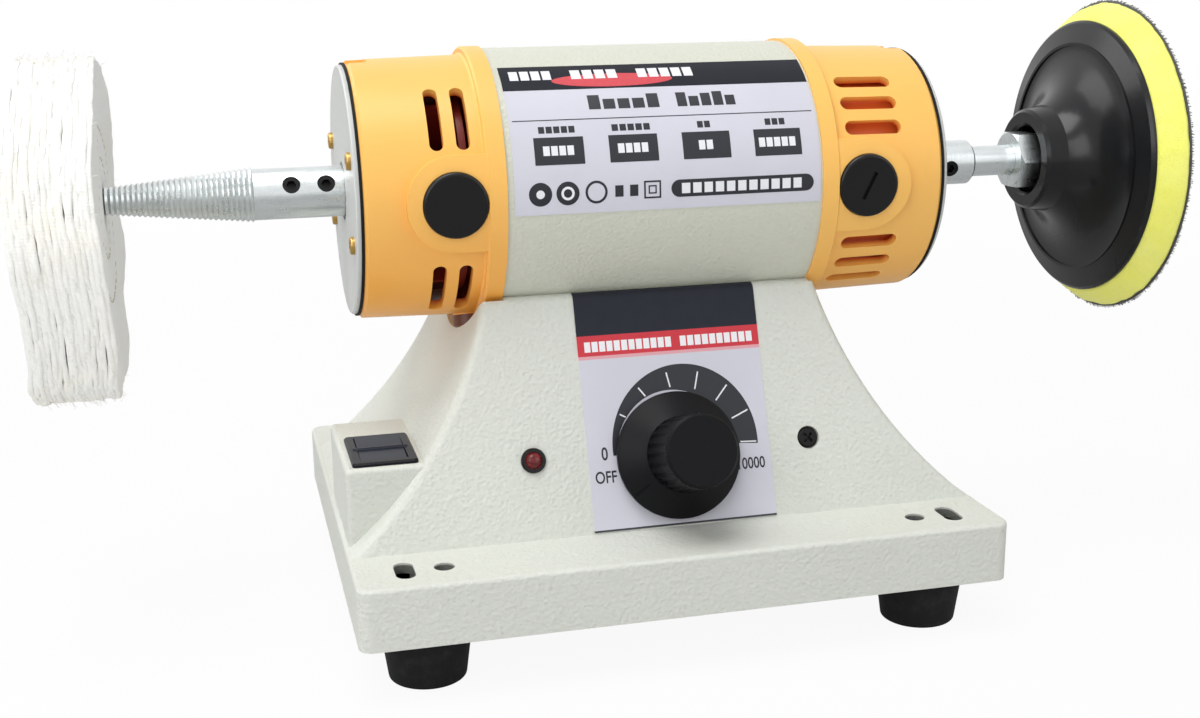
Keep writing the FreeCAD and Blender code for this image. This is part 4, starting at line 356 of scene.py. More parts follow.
def moulded(name, base, rough, grain=0.0007, depth=0.00003, spread=0.04, **constants):
    """Moulded plastic: fine even grain and slow changes of tone."""
    finish = Finish(name, base, rough, **constants)
    pits = finish.grain(grain, 3.0)
    flow = finish.grain(0.018, 2.0, finish.stretched(0.5, 1.0, 1.0))
    return finish.coat(finish.tone(flow * 0.8 + pits * 0.2, spread),
                       rough - 0.07 + flow * 0.1 + pits * 0.06, pits, depth)


def end_cover_plastic(name, base):
    """Orange plastic with painted light and shade: paler above and on the right, darker orange
    below and inside.
    """
    finish = Finish(name, base, 0.38, Coat_Weight=0.15, Coat_Roughness=0.3)
    up, out = finish.from_axis()
    pits, flow = finish.grain(0.0009, 3.0), finish.grain(0.020, 2.0)
    # Painted shade: the inside of the cover is a darker red-orange than the outside.
    inner = finish.mix(flow, linear(214, 88, 30), linear(238, 122, 54))
    # Painted light and shade: paler towards the top and, by half, on the right cover; darker orange
    # low down.
    painted_light_share = up.step(*PAINTED_SHADE_HEIGHTS) + finish.x.over(0.0) * 0.5
    painted_shade_tone = finish.tone(flow, 0.05, linear(252, 176, 74))
    outer = finish.mix(painted_light_share, painted_shade_tone, finish.tone(flow * 0.8 + pits * 0.2, 0.05))
    beside_flange = (LUG_X - finish.x).over(0.0) * out.over(LUG_R)
    past_flange = beside_flange.maths("MAXIMUM", out.over(LUG_PAST_FLANGE_R))
    # Painted shade: the lug low under the left cover is dark brown.
    outer = finish.mix((up * -1.0).over(NOTCH_UP) * past_flange, outer, linear(104, 52, 26))
    # The wall mask gives the painted inner shade inside the wall, and the outer tone outside it and
    # above the notch.
    wall = out.step(*COVER_WALL).maths("MAXIMUM", up.over(NOTCH_UP))
    return finish.coat(finish.mix(wall, inner, outer), 0.33 + flow * 0.1 + pits * 0.05,
                       pits, 0.00003)


def rubber(name, base):
    """Matt rubber with a bloom of pale dust."""
    finish = Finish(name, base, 0.7, Specular_IOR_Level=0.2)
    bloom = finish.grain(0.006, 4.0, rough=0.65)
    return finish.coat(finish.mix(bloom.step(0.45, 0.8) * 0.35, base, linear(62, 62, 62)),
                       0.55 + bloom * 0.3, finish.grain(0.0011, 3.0), 0.00006)


def turned_steel(name, base, rough, ring=0.0006):
    """Zinc-bright steel with the tool's rings round the axis and cloudy plating."""
    finish = Finish(name, base, rough, 1.0)
    rings, cloud = finish.grain(ring, 2.0, finish.turned()), finish.grain(0.005, 3.0)
    streaks = finish.grain(0.0022, 3.0, finish.stretched(0.2, 1.0, 1.0), 0.6).step(0.3, 0.7)
    return finish.coat(finish.tone(rings * 0.2 + cloud * 0.3 + streaks * 0.5, 0.11),
                       rough - 0.1 + cloud * 0.12 + streaks * 0.06, rings, 0.00003)


def plated(name, base, rough=0.34, metal=1.0):
    """Barrel-plated small parts: cloudy, with fine marks drawn out along x."""
    finish = Finish(name, base, rough, metal)
    cloud = finish.grain(0.004, 4.0, rough=0.6)
    marks = finish.grain(0.0006, 2.0, finish.stretched(0.25, 1.0, 1.0))
    return finish.coat(finish.tone(cloud, 0.14), rough - 0.12 + cloud * 0.18 + marks * 0.08,
                       marks, 0.00002)


def wound_wire(name, base, wire):
    """Varnished wire laid turn by turn."""
    finish = Finish(name, base, 0.3, 0.75, Coat_Weight=0.6, Coat_Roughness=0.15)
    turns = finish.waves(finish.x + finish.grain(0.004, 2.0) * wire * 0.8, wire)
    varnish = finish.grain(0.003, 3.0)
    return finish.coat(finish.mix(turns, scaled(base, 0.35), base), 0.22 + varnish * 0.2,
                       turns + varnish * 0.3, wire * 0.4)


def stacked_steel(name, base, sheet):
    """Edges of thin steel sheets pressed together."""
    finish = Finish(name, base, 0.5, 0.8)
    sheets, oil = finish.waves(finish.x, sheet), finish.grain(0.006, 4.0)
    return finish.coat(finish.tone(sheets * 0.5 + oil * 0.5, 0.4), 0.35 + oil * 0.3,
                       sheets, 0.00006)


def commutator_bars(name, base, bars):
    """Copper bars with dark insulation between them and a brown worn track."""
    finish = Finish(name, base, 0.3, 1.0)
    bar = finish.waves(finish.turn(), 2 * math.pi / bars).step(0.06, 0.14)
    track = finish.grain(0.0005, 2.0, finish.turned())
    worn = finish.mix(track, scaled(base, 0.45), base)
    finish.feed("Metallic", bar)
    return finish.coat(finish.mix(bar, linear(50, 40, 34), worn), 0.24 + track * 0.2,
                       bar, 0.00012)


def circuit_board(name, base):
    """Green board with paler tracks."""
    finish = Finish(name, base, 0.35, Coat_Weight=0.5, Coat_Roughness=0.15)
    tracks = finish.cells(0.006, "DISTANCE_TO_EDGE", finish.stretched(1.0, 1.0, 0.0))
    edge, weave = 1 - tracks.step(0.05, 0.09), finish.grain(0.0008, 2.0)
    return finish.coat(finish.mix(edge * 0.7 + weave * 0.2, base, linear(74, 150, 92)),
                       0.28 + weave * 0.15, edge, 0.00005)


def label_film(name, colours):
    """A label's film, pale with a faint lilac cloud, and the colour of its ground."""
    finish = Finish(name, colours.film, 0.35, Specular_IOR_Level=0.15)
    cloud = finish.grain(0.022, 3.0)
    ground = finish.tone(cloud, 0.06)
    return finish.coat(ground, 0.3 + cloud * 0.12, finish.grain(0.0012, 2.0), 0.000012), ground


def dial_film(name, colours):
    """Front label: over its dark foot the pale ground, a pink line, a red stripe and a header."""
    finish, ground = label_film(name, colours)
    # Painted light: this header is half again lighter than the motor label's, against the shade of
    # the motor above it.
    dark = finish.tone(finish.grain(0.004, 3.0), 0.12, scaled(colours.header, 1.5))
    red = finish.tone(finish.grain(0.004, 3.0), 0.08, colours.stripe)
    shown = linear(70, 72, 78)
    for height, above in ((GROUND_Z, ground), (PINK_Z, linear(226, 168, 176)),
                          (STRIPE_Z, red), (HEADER_Z, dark)):
        shown = finish.mix(finish.z.over(height), shown, above)
    finish.feed("Base Color", shown)
    return finish


def rating_film(name, colours):
    """Motor label: dark header band round the tube's top, pale ground."""
    finish, ground = label_film(name, colours)
    dark = finish.tone(finish.grain(0.004, 3.0), 0.12, colours.header)
    finish.feed("Base Color", finish.mix(finish.turn().over(HEADER_ARC / ARC_R), ground, dark))
    return finish


def print_ink(name, base, spread=0.1):
    """Screen-printed ink, a touch uneven."""
    finish = Finish(name, base, 0.4)
    speck = finish.grain(0.0012, 3.0)
    return finish.coat(finish.tone(speck, spread), 0.34 + speck * 0.14)


def lamp_lens(name, base):
    """Deep red lens: a relief of small cells, each with a lighter red painted glint at its middle.
    """
    finish = Finish(name, base, 0.08, Coat_Weight=0.25, Coat_Roughness=0.04,
                    Specular_IOR_Level=0.35)
    facets_and_glints = finish.cells(0.0016)
    # Painted highlight: lighter red spots at the cells' middles stand in for glints.
    return finish.coat(finish.mix(facets_and_glints.step(0.1, 0.5), linear(140, 22, 26), base),
                       0.05 + facets_and_glints * 0.12, facets_and_glints, 0.0003)


def brush_carbon(name, base):
    """Pressed carbon with graphite glints."""
    finish = Finish(name, base, 0.5, 0.3)
    glints = finish.grain(0.0005, 3.0)
    return finish.coat(finish.mix(glints.step(0.55, 0.75), base, linear(120, 120, 124)),
                       0.6 - glints * 0.25, glints, 0.00005)


def sanding_foam(name, base):
    """Bright open-cell foam: fine pores and slow pale patches."""
    finish = Finish(name, base, 0.85, Subsurface_Weight=0.25, Subsurface_Scale=1.0,
                    Subsurface_Radius=(0.002, 0.0018, 0.0005), Sheen_Weight=0.1)
    pores, patch = finish.cells(0.0006).step(0.02, 0.4), finish.grain(0.012, 3.0)
    pale = finish.mix(patch, base, linear(255, 255, 150))
    return finish.coat(finish.mix(pores, scaled(base, 0.86), pale), 0.75 + pores * 0.15,
                       pores + patch * 0.4, 0.00007)


def cotton_cloth(name, base):
    """Loose-woven cotton: fine threads both ways and slow creamy patches."""
    finish = Finish(name, base, 0.95, Sheen_Weight=0.6, Sheen_Roughness=0.5,
                    Specular_IOR_Level=0.15)
    weft = finish.waves(finish.y + finish.grain(0.004) * 0.0006, 0.0009)
    warp = finish.waves(finish.z + finish.grain(0.005) * 0.0006, 0.0009)
    fluff = finish.grain(0.0018, 5.0, rough=0.7)
    cream = finish.mix(finish.grain(0.020, 3.0).step(0.45, 0.75), base, linear(250, 246, 232))
    shown = finish.mix(fluff * 0.45 + weft * warp * 0.2, cream, linear(255, 255, 253))
    return finish.coat(shown, 0.88 + fluff * 0.1, weft * 0.3 + warp * 0.3 + fluff, 0.00015)


def sewing_thread(name, base):
    """Waxed sewing thread, twisted."""
    finish = Finish(name, base, 0.7, Sheen_Weight=0.3, Specular_IOR_Level=0.2)
    twist, wax = finish.waves(finish.y + finish.z + finish.x, 0.0005), finish.grain(0.003, 3.0)
    return finish.coat(finish.tone(twist * 0.4 + wax * 0.6, 0.14), 0.55 + wax * 0.25,
                       twist, 0.00008)


def hook_cloth(name, base):
    """Knitted ground and nylon hooks."""
    finish = Finish(name, base, 0.6, Sheen_Weight=0.2)
    knit = finish.waves(finish.y, 0.0011) * finish.waves(finish.z, 0.0014)
    speck = finish.grain(0.0009, 3.0)
    return finish.coat(finish.mix(knit * 0.4 + speck * 0.6, scaled(base, 0.35), base),
                       0.5 + speck * 0.25, knit + speck * 0.5, 0.00015)


def dress(finish, *nodes, slot=None):
    """Give a finish to CAD nodes, or to all that the record finishes from one material slot.

    A node the model hasn't got, or a slot without nodes, stops the script.
    """
    if slot:
        nodes = [part["node"] for part in frame["record"]["subparts"]
                 if part["material_slot"] == slot]
    if not nodes:
        raise RuntimeError("nothing to dress with " + finish.material.name)
    for node in nodes:
        slots = frame["nodes"][node].data.materials
        slots.clear()
        slots.append(finish.material)


# ---- pieces made in mesh


def added(name, data):
    """A new object at the origin, linked to the scene."""
    obj = bpy.data.objects.new(name, data)
    bpy.context.scene.collection.objects.link(obj)
    return obj


def baked(holder):
    """An object's evaluated shape as a plain mesh; its modifiers and the object go."""
    ready = holder.evaluated_get(bpy.context.evaluated_depsgraph_get())
    mesh = bpy.data.meshes.new_from_object(ready)
    holder.modifiers.clear()
    bpy.data.objects.remove(holder)
    return mesh


def piece(name, mesh, finish, body, smooth=True):
    """A finished piece at the origin, riding on a body."""
    mesh.name = name
    obj = added(name, mesh)
    mesh.materials.clear()
    mesh.materials.append(finish.material)
    mesh.polygons.foreach_set("use_smooth", [smooth] * len(mesh.polygons))
    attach(obj, body)
    return obj


def printed(name, mesh, ink):
    """A label's ink as a piece that rides on the frame."""
    piece(name, mesh, ink, "frame", False)


def mesh_of(work):
    mesh = bpy.data.meshes.new("made")
    work.to_mesh(mesh)
    work.free()
    return mesh


def revolved(profile, around, shift=None):
    """A solid of revolution about the motor's axis from (x, r) points that start and end at r 0."""
    work = bmesh.new()
    rings = []
    for x, radius in profile:
        if radius <= 0:
            rings.append([work.verts.new((x, 0.0, AXIS_Z))])
            continue
        ring = []
        for step in range(around):
            angle = 2 * math.pi * step / around
            dx, dr = shift(x, radius, angle) if shift else (0.0, 0.0)
            ring.append(work.verts.new((x + dx, (radius + dr) * math.cos(angle),
                                        AXIS_Z + (radius + dr) * math.sin(angle))))
        rings.append(ring)
    for low, high in zip(rings, rings[1:]):
        for step in range(around):
            following = (step + 1) % around
            corners = [low[step % len(low)], low[following % len(low)],
                       high[following % len(high)], high[step % len(high)]]
            work.faces.new(list(dict.fromkeys(corners)))
    bmesh.ops.recalc_face_normals(work, faces=work.faces)
    return mesh_of(work)


def spindle_radius(x):
    """Radius of the taper at a place along it."""
    shoulder = -111.5 * MM
    share = min(1.0, max(0.0, (x - SPINDLE_TIP) / (shoulder - SPINDLE_TIP)))
    return (1.7 + 6.2 * share) * MM


class Plies:
    """The cotton plies: tight at the bore, sewn in two rows, waving and frayed at the rim."""

    # How far out each ring of a ply lies, and its share of the ply's thickness there.
    RINGS = ((0.0, 0.8), (0.1, 0.95), (0.19, 1.0), (0.23, 0.45), (0.27, 1.0), (0.35, 1.0),
             (0.43, 1.0), (0.47, 0.45), (0.51, 1.0), (0.6, 1.0), (0.7, 1.0), (0.78, 1.0),
             (0.86, 1.0), (0.93, 1.0), (0.975, 1.0), (0.993, 0.93), (1.0, 0.74))
    SEWN = (0.23, 0.47)

    def __init__(self, sizes):
        self.count, self.wave, self.fray = sizes.plies, sizes.ply_wave, sizes.ply_fray
        self.middle = (BUFF_LOW[0] + BUFF_HIGH[0]) / 2
        self.full = BUFF_R - self.fray * 0.6
        self.pitch = (BUFF_HIGH[0] - BUFF_LOW[0]) * 0.93 / self.count

    def spot(self, ply, side, out, share, angle):
        """A point of one side of a ply: out is 0 at the bore and 1 at the rim."""
        seat = self.middle + (ply + 0.5 - self.count / 2) * self.pitch
        seed = Vector((3.7 * ply, 1.3 * ply, 0.0))
        arm = Vector((0.0, math.cos(angle), math.sin(angle)))
        worn = (0.3 * noise.noise(seed + Vector((0.5, 0.5, 0.5))) + 0.9 * noise.noise(arm * 2.6)
                + 0.2 * noise.noise(arm * 5 + seed) + 0.2 * noise.noise(arm * 13 + seed)
                + 0.3 * noise.noise(arm * 31 + seed))
        bore = spindle_radius(seat) + 0.4 * MM
        place = (Vector((0.0, 0.0, AXIS_Z)) + arm * bore) * (1 - out)
        place += (Vector((0.0, 0.0, BUFF_Z)) + arm * (self.full + worn * self.fray)) * out
        together = noise.noise(arm * 1.7 + Vector((out * 1.1, 0.0, 5.0)))
        apart = noise.noise(arm * 4.5 + seed + Vector((out * 2.0, 0.0, 0.0)))
        crease = noise.noise(arm * 14 + seed + Vector((out * 7.0, 0.0, 0.0)))
        swing = (together + 0.25 * apart + 0.14 * crease) * self.wave * out ** 1.4
        fan = (seat - self.middle) * (0.12 * out ** 2)
        place.x = seat + swing + fan + side * share * self.pitch * (0.52 + 0.23 * out)
        return place

    def ring(self, work, ply, side, out, share, around):
        """A ply's corners at one distance out, in a mesh that is being made."""
        return [work.verts.new(self.spot(ply, side, out, share, 2 * math.pi * step / around))
                for step in range(around)]

    def mesh(self):
        work = bmesh.new()
        around, last = 128, len(self.RINGS) - 1
        for ply in range(self.count):
            left, right = [[self.ring(work, ply, side, out, share, around)
                            for out, share in self.RINGS] for side in (-1, 1)]
            for step in range(around):
                following = (step + 1) % around
                for ring in range(last):
                    for grid in (left, right):
                        work.faces.new((grid[ring][step], grid[ring][following],
                                        grid[ring + 1][following], grid[ring + 1][step]))
                for ring in (0, last):
                    work.faces.new((left[ring][step], left[ring][following],
                                    right[ring][following], right[ring][step]))
        bmesh.ops.recalc_face_normals(work, faces=work.faces)
        return mesh_of(work)

    def sewn_rows(self):
        """The lines that the stitches follow, on the outer face of the first and last plies."""
        work = bmesh.new()
        for ply, side in ((0, -1), (self.count - 1, 1)):
            for out in self.SEWN:
                ring = self.ring(work, ply, side, out, 0.62, 90)
                for one, other in zip(ring, ring[1:] + ring[:1]):
                    work.edges.new((one, other))
        return mesh_of(work)


def foam_mesh(sizes):
    """Foam disc that flares from the backing's edge and swells at its rim."""
    left, right = FOAM_LOW[0], FOAM_HIGH[0]
    inner, outer = BACKING_R + 0.5 * MM, FOAM_HIGH[1]
    swell = sizes.foam_swell
    profile = [(left, 0.0)] + [(left, inner * share) for share in (0.3, 0.6, 0.85, 0.96)]
    steps = 12
    for step in range(steps + 1):
        share = step / steps
        radius = inner + (outer - swell - inner) * share + swell * math.sin(math.pi * share) ** 0.7
        profile.append((left + 0.25 * MM + (right - left - 0.5 * MM) * share, radius))
    profile += [(right, outer * share) for share in (0.985, 0.9, 0.6, 0.3)] + [(right, 0.0)]

    def soften(x, radius, angle):
        if radius < inner:
            return 0.0, 0.0
        arm = Vector((x * 60, math.cos(angle) * 9, math.sin(angle) * 9))
        return 0.0, (noise.noise(arm) * 0.35 + noise.noise(arm * 6) * 0.15) * MM - 0.2 * MM

    return revolved(profile, 256, soften)


def hook_ground_mesh():
    """Thin round cloth that carries the hooks."""
    left, right, rim = HOOK_LOW[0], HOOK_LOW[0] + 0.5 * MM, HOOK_HIGH[1]
    face = [(left, 0.0), (left, rim * 0.5), (left, rim * 0.97), (left + 0.1 * MM, rim - 0.15 * MM)]
    return revolved(face + [(left + right - x, radius) for x, radius in reversed(face)], 240)


# ---- patterns in Geometry Nodes


class Pattern(Graph):
    """A Geometry Nodes tree with named inputs, which ends in one plain mesh."""

    def __init__(self, name, **inputs):
        super().__init__(bpy.data.node_groups.new(name, "GeometryNodeTree"))
        self.tree.interface.new_socket("Geometry", in_out="OUTPUT",
                                       socket_type="NodeSocketGeometry")
        self.tree.interface.new_socket("Path", in_out="INPUT", socket_type="NodeSocketGeometry")
        self.inputs, self.sockets = inputs, {}
        for label, value in inputs.items():
            kind = "NodeSocketInt" if isinstance(value, int) else "NodeSocketFloat"
            socket = self.tree.interface.new_socket(label, in_out="INPUT", socket_type=kind)
            self.sockets[label] = socket.identifier
        self.given = self.node("NodeGroupInput")

    def __getitem__(self, label):
        return self.given.out(label)

    def random(self, low, high, seed):
        return self.node("FunctionNodeRandomValue", {"data_type": "FLOAT"},
                         {2: low, 3: high, "Seed": seed}, 1)

    def turned_to(self, x, y, z):
        return self.node("FunctionNodeEulerToRotation", None, {0: self.combine(x, y, z)})

    def strand(self, tall, thick, bend, segments):
        """A thin three-sided strand up z that bends towards x."""
        line = self.node("GeometryNodeCurvePrimitiveLine", None,
                         {"End": self.combine(0.0, 0.0, tall)})
        line = self.node("GeometryNodeResampleCurve", None, {"Curve": line, "Count": segments + 1})
        share = self.node("GeometryNodeSplineParameter", output="Factor")
        line = self.node("GeometryNodeSetPosition", None,
                         {"Geometry": line, "Offset": self.combine(share * share * bend, 0.0, 0.0)})
        ring = self.node("GeometryNodeCurvePrimitiveCircle", None,
                         {"Resolution": 3, "Radius": thick}, "Curve")
        return self.node("GeometryNodeCurveToMesh", None,
                         {"Curve": line, "Profile Curve": ring, "Fill Caps": True})

    def round_points(self, count, x, radius, angle):
        """Points at a distance and an angle from a line along x at the tree's Height."""
        spot = self.combine(x, radius * angle.maths("COSINE"),
                            self["Height"] + radius * angle.maths("SINE"))
        return self.node("GeometryNodePoints", None, {"Count": count, "Position": spot})

    def scatter(self, points, instance, rotation, scale):
        return self.node("GeometryNodeInstanceOnPoints", None,
                         {"Points": points, "Instance": instance, "Rotation": rotation,
                          "Scale": scale})

    def grown(self, geometry, finish, path=None):
        """The tree closed with a material, and its result as a plain mesh with the inputs set."""
        real = self.node("GeometryNodeRealizeInstances", None, {0: geometry})
        done = self.node("GeometryNodeSetMaterial", None,
                         {"Geometry": real, "Material": finish.material})
        self.node("NodeGroupOutput", None, {0: done})
        holder = added("holder", path or bpy.data.meshes.new("holder"))
        modifier = holder.modifiers.new("Pattern", "NODES")
        modifier.node_group = self.tree
        for label, value in self.inputs.items():
            modifier[self.sockets[label]] = value
        mesh = baked(holder)
        if not mesh.polygons:
            raise RuntimeError("the pattern " + self.tree.name + " came out empty")
        return mesh


def stitch_pattern(plies, finish):
    """Sewing thread that shows as a row of stitches along each line."""
    tree = Pattern("buff_stitches", Stitch=3.2 * MM, Shown=0.66, Thickness=0.5 * MM)
    rows = tree.node("GeometryNodeMeshToCurve", None, {0: tree["Path"]})
    points = tree.node("GeometryNodeCurveToPoints", {"mode": "LENGTH"},
                       {"Curve": rows, "Length": tree["Stitch"]})
    bead = tree.node("GeometryNodeMeshIcoSphere", None, {"Radius": 0.5, "Subdivisions": 2}, "Mesh")
    size = tree.combine(tree["Thickness"], tree["Thickness"], tree["Stitch"] * tree["Shown"])
    return tree.grown(tree.scatter(points, bead, points.out("Rotation"), size), finish,
                      plies.sewn_rows())


def thread_pattern(sizes, finish):
    """Loose threads standing off the buff's rim."""
    tree = Pattern("loose_threads", Count=sizes.threads, Left=BUFF_LOW[0] + 1 * MM,
                   Right=BUFF_HIGH[0] - 1 * MM, Radius=BUFF_R - 3 * MM, Height=BUFF_Z,
                   Longest=sizes.thread_long, Thickness=0.075 * MM, Seed=11)
    seed = tree["Seed"]
    angle = tree.random(0.0, 2 * math.pi, seed)
    along = tree.random(tree["Left"], tree["Right"], seed + 1)
    points = tree.round_points(tree["Count"], along, tree["Radius"], angle)
    strand = tree.strand(tree["Longest"], tree["Thickness"], tree["Longest"] * 0.45, 5)
    lean = tree.turned_to(angle - math.pi / 2 + tree.random(-0.7, 0.7, seed + 2),
                          tree.random(-0.5, 0.5, seed + 3), 0.0)
    return tree.grown(tree.scatter(points, strand, lean, tree.random(0.35, 1.0, seed + 4)), finish)


def hook_pattern(sizes, finish):
    """Small bent hooks over the sanding face, and a ragged fringe of them round its edge."""
    tree = Pattern("pad_hooks", Count=sizes.hook_count, Fringe=900, Ground=HOOK_LOW[0] + 0.45 * MM,
                   Radius=HOOK_HIGH[1] - 0.5 * MM, Height=AXIS_Z, Tall=sizes.hook_tall,
                   Thickness=0.1 * MM, Seed=5)
    seed = tree["Seed"]
    strand = tree.strand(tree["Tall"], tree["Thickness"], tree["Tall"] * 0.7, 2)
    angle = tree.random(0.0, 2 * math.pi, seed)
    radius = tree["Radius"] * tree.random(0.0, 1.0, seed + 1) ** 0.5
    upright = tree.turned_to(tree.random(-0.35, 0.35, seed + 2), math.pi / 2,
                             tree.random(-0.35, 0.35, seed + 3))
    field = tree.scatter(tree.round_points(tree["Count"], tree["Ground"], radius, angle),
                         strand, upright, (1.0, 1.0, 1.0))
    turn = tree.node("GeometryNodeInputIndex") * (2 * math.pi) / tree["Fringe"]
    rim = tree.round_points(tree["Fringe"], tree["Ground"] - 0.3 * MM,
                            tree["Radius"] + 0.1 * MM, turn)
    outward = tree.turned_to(turn - math.pi / 2 + tree.random(-0.5, 0.5, seed + 5),
                             tree.random(0.0, 0.6, seed + 6), 0.0)
    fringe = tree.scatter(rim, strand, outward, tree.random(0.5, 1.5, seed + 7))
    both = tree.node("GeometryNodeJoinGeometry")
    for part in (field, fringe):
        tree.tree.links.new(part.socket, both.socket.node.inputs[0])
    return tree.grown(both, finish)


# The dial's crescent lies between this circle and one just inside the knob's skirt, in mm.
DIAL_X, DIAL_UP, DIAL_R = 5.5, 55.6, 22.0
KNOB_X, KNOB_UP, KNOB_HIDES_R = 2.4, 52.7, 17.6


def crescent_width(degrees):
    """Width in mm of the dial's crescent at an angle, counted from the right."""
    turn = math.radians(degrees)
    return (DIAL_R - KNOB_HIDES_R + (DIAL_X - KNOB_X) * math.cos(turn)
            + (DIAL_UP - KNOB_UP) * math.sin(turn))


def tick_pattern(finish):
    """White ticks across the dial's crescent, longer as it widens."""
    tree = Pattern("dial_ticks", Count=7, First=math.radians(152), Step=math.radians(25.8),
                   Radius=(DIAL_R - 0.5) * MM, Even=(DIAL_R - KNOB_HIDES_R) * MM,
                   Aside=(DIAL_X - KNOB_X) * MM, Above=(DIAL_UP - KNOB_UP) * MM, Share=0.66,
                   Thickness=0.42 * MM, Height=0.06 * MM)
    angle = tree["First"] - tree.node("GeometryNodeInputIndex") * tree["Step"]
    across, upward = angle.maths("COSINE"), angle.maths("SINE")
    width = (tree["Even"] + tree["Aside"] * across + tree["Above"] * upward) * tree["Share"]
    middle = tree["Radius"] - width / 2
    spot = tree.combine(middle * across, middle * upward, 0.0)
    points = tree.node("GeometryNodePoints", None, {"Count": tree["Count"], "Position": spot})
    bar = tree.node("GeometryNodeMeshCube", None,
                    {"Size": tree.combine(1.0, tree["Thickness"], tree["Height"])}, "Mesh")
    return tree.grown(tree.scatter(points, bar, tree.turned_to(0.0, 0.0, angle),
                                   tree.combine(width, 1.0, 1.0)), finish)


# ---- prints


def front_place(x, up, out):
    """A point of the sloping front from mm along it, mm of world height and mm out of it."""
    slope = (up * MM - FRONT_FOOT_Z) / math.cos(FRONT_LEAN)
    foot = Vector((x * MM, FRONT_FOOT_Y, FRONT_FOOT_Z))
    return foot + FRONT_UP * slope + FRONT_OUT * (out * MM)


def onto_front(mesh, x, up, out, narrow=1.0):
    """A flat mesh stood on a place of the sloping front."""
    upright = Matrix((Vector((narrow, 0, 0)), FRONT_UP, FRONT_OUT)).transposed().to_4x4()
    mesh.transform(Matrix.Translation(front_place(x, up, out)) @ upright)
    return mesh


def tube_place(x, arc, out):
    """A point of the motor label from mm along it, mm round the tube and mm out of it."""
    radius, angle = RATING_R + out * MM, arc * MM / ARC_R
    return Vector((x * MM, -radius * math.cos(angle), AXIS_Z + radius * math.sin(angle)))


class Print:
    """Flat ink shapes in mm, which get a thickness and are laid on a label."""

    def __init__(self):
        self.work = bmesh.new()

    def corners(self, path):
        return [self.work.verts.new((x, y, 0.0)) for x, y in path]

    def ribbon(self, one, other):
        one, other = self.corners(one), self.corners(other)
        for step in range(len(one) - 1):
            self.work.faces.new((one[step], one[step + 1], other[step + 1], other[step]))

    def box(self, left, low, right, high):
        self.ribbon([(left, low), (right, low)], [(left, high), (right, high)])

    def frame(self, left, low, right, high, line):
        self.box(left, low, right, low + line)
        self.box(left, high - line, right, high)
        self.box(left, low + line, left + line, high - line)
        self.box(right - line, low + line, right, high - line)

    def disc(self, x, y, radius, tall=None, sides=32):
        turns = [2 * math.pi * k / sides for k in range(sides)]
        self.work.faces.new(self.corners([(x + radius * math.cos(a),
                                           y + (tall or radius) * math.sin(a)) for a in turns]))

    def arc(self, x, y, start, stop, outer, inner, steps=40):
        """A band between two radii, which are functions of the angle in degrees."""
        turns = [start + (stop - start) * k / steps for k in range(steps + 1)]
        self.ribbon(*[[(x + reach(a) * math.cos(math.radians(a)),
                        y + reach(a) * math.sin(math.radians(a))) for a in turns]
                      for reach in (outer, inner)])

    def ring(self, x, y, radius, line):
        for start in (0, 180):
            self.arc(x, y, start, start + 180, lambda a: radius, lambda a: radius - line, 16)

    def pill(self, left, low, right, high):
        middle, half = (low + high) / 2, (high - low) / 2
        ends = [(left + half - half * math.cos(a), half * math.sin(a) + 1e-4)
                for a in (math.pi / 2 * k / 6 for k in range(7))]
        path = ends + [(left + right - x, y) for x, y in reversed(ends)]
        self.ribbon([(x, middle - y) for x, y in path], [(x, middle + y) for x, y in path])

    def marks(self, left, low, right, high, heights, gap=0.2):
        """Plain blocks in place of a line of print: how many, or each one's height in tenths."""
        heights = [10] * heights if isinstance(heights, int) else heights
        pitch = (right - left) / len(heights)
        for place, tenths in enumerate(heights):
            start = left + place * pitch
            self.box(start, low, start + pitch * (1 - gap), low + (high - low) * tenths / 10)

    def laid(self, place, lift, thick, strips=()):
        """The shapes as closed thin solids on a surface, cut into strips so that they bend."""
        work = self.work
        for level in strips:
            bmesh.ops.bisect_plane(work, geom=work.verts[:] + work.edges[:] + work.faces[:],
                                   plane_co=(0, level, 0), plane_no=(0, 1, 0))
        bmesh.ops.remove_doubles(work, verts=work.verts, dist=1e-5)
        made = bmesh.ops.extrude_face_region(work, geom=work.faces[:], use_keep_orig=True)
        for vert in made["geom"]:
            if isinstance(vert, bmesh.types.BMVert):
                vert.co.z = thick
        bmesh.ops.recalc_face_normals(work, faces=work.faces)
        for vert in work.verts:
            vert.co = place(vert.co.x, vert.co.y, lift + vert.co.z)
        return mesh_of(work)


def figure_mesh(text, x, up, tall, thick):
    """A figure or word of the dial, centred on a place of the front."""
    curve = bpy.data.curves.new("figure", "FONT")
    curve.body, curve.size, curve.extrude = text, tall / 0.7 * MM, thick / 2
    curve.align_x, curve.align_y = "CENTER", "CENTER"
    curve.resolution_u, curve.offset = 4, tall * 0.02 * MM
    out = (LABEL_THICK + thick / 2) / MM - INK_SUNK
    return onto_front(baked(added("figure", curve)), x, up, out, 0.76)


def joined(meshes):
    """Several meshes as one."""
    work = bmesh.new()
    for mesh in meshes:
        work.from_mesh(mesh)
    bmesh.ops.remove_doubles(work, verts=work.verts, dist=1e-7)
    return mesh_of(work)


# ---- operators


class LatheOperator:
    """What the lathe's operators share."""

    bl_options = {"REGISTER", "UNDO"}

    def execute(self, context):
        scene = context.scene
        self.make(scene.lathe_colours, scene.lathe_sizes, scene.lathe_stage)
        return {"FINISHED"}


class LATHE_OT_paint_stand(LatheOperator, Operator):
    """Paint the stand, its plate and its rubber feet"""

    bl_idname = "lathe.paint_stand"
    bl_label = "Paint Stand"

    def make(self, colours, sizes, stage):
        dress(wrinkle_paint("stand_wrinkle_paint", colours.stand, 0.00105, 0.00028, 0.5, True),
              "stand_shell")
        dress(rubber("foot_rubber", colours.rubber), slot="rubber_black")
        dress(plated("zinc_plating", linear(186, 190, 187)), slot="plated_steel")


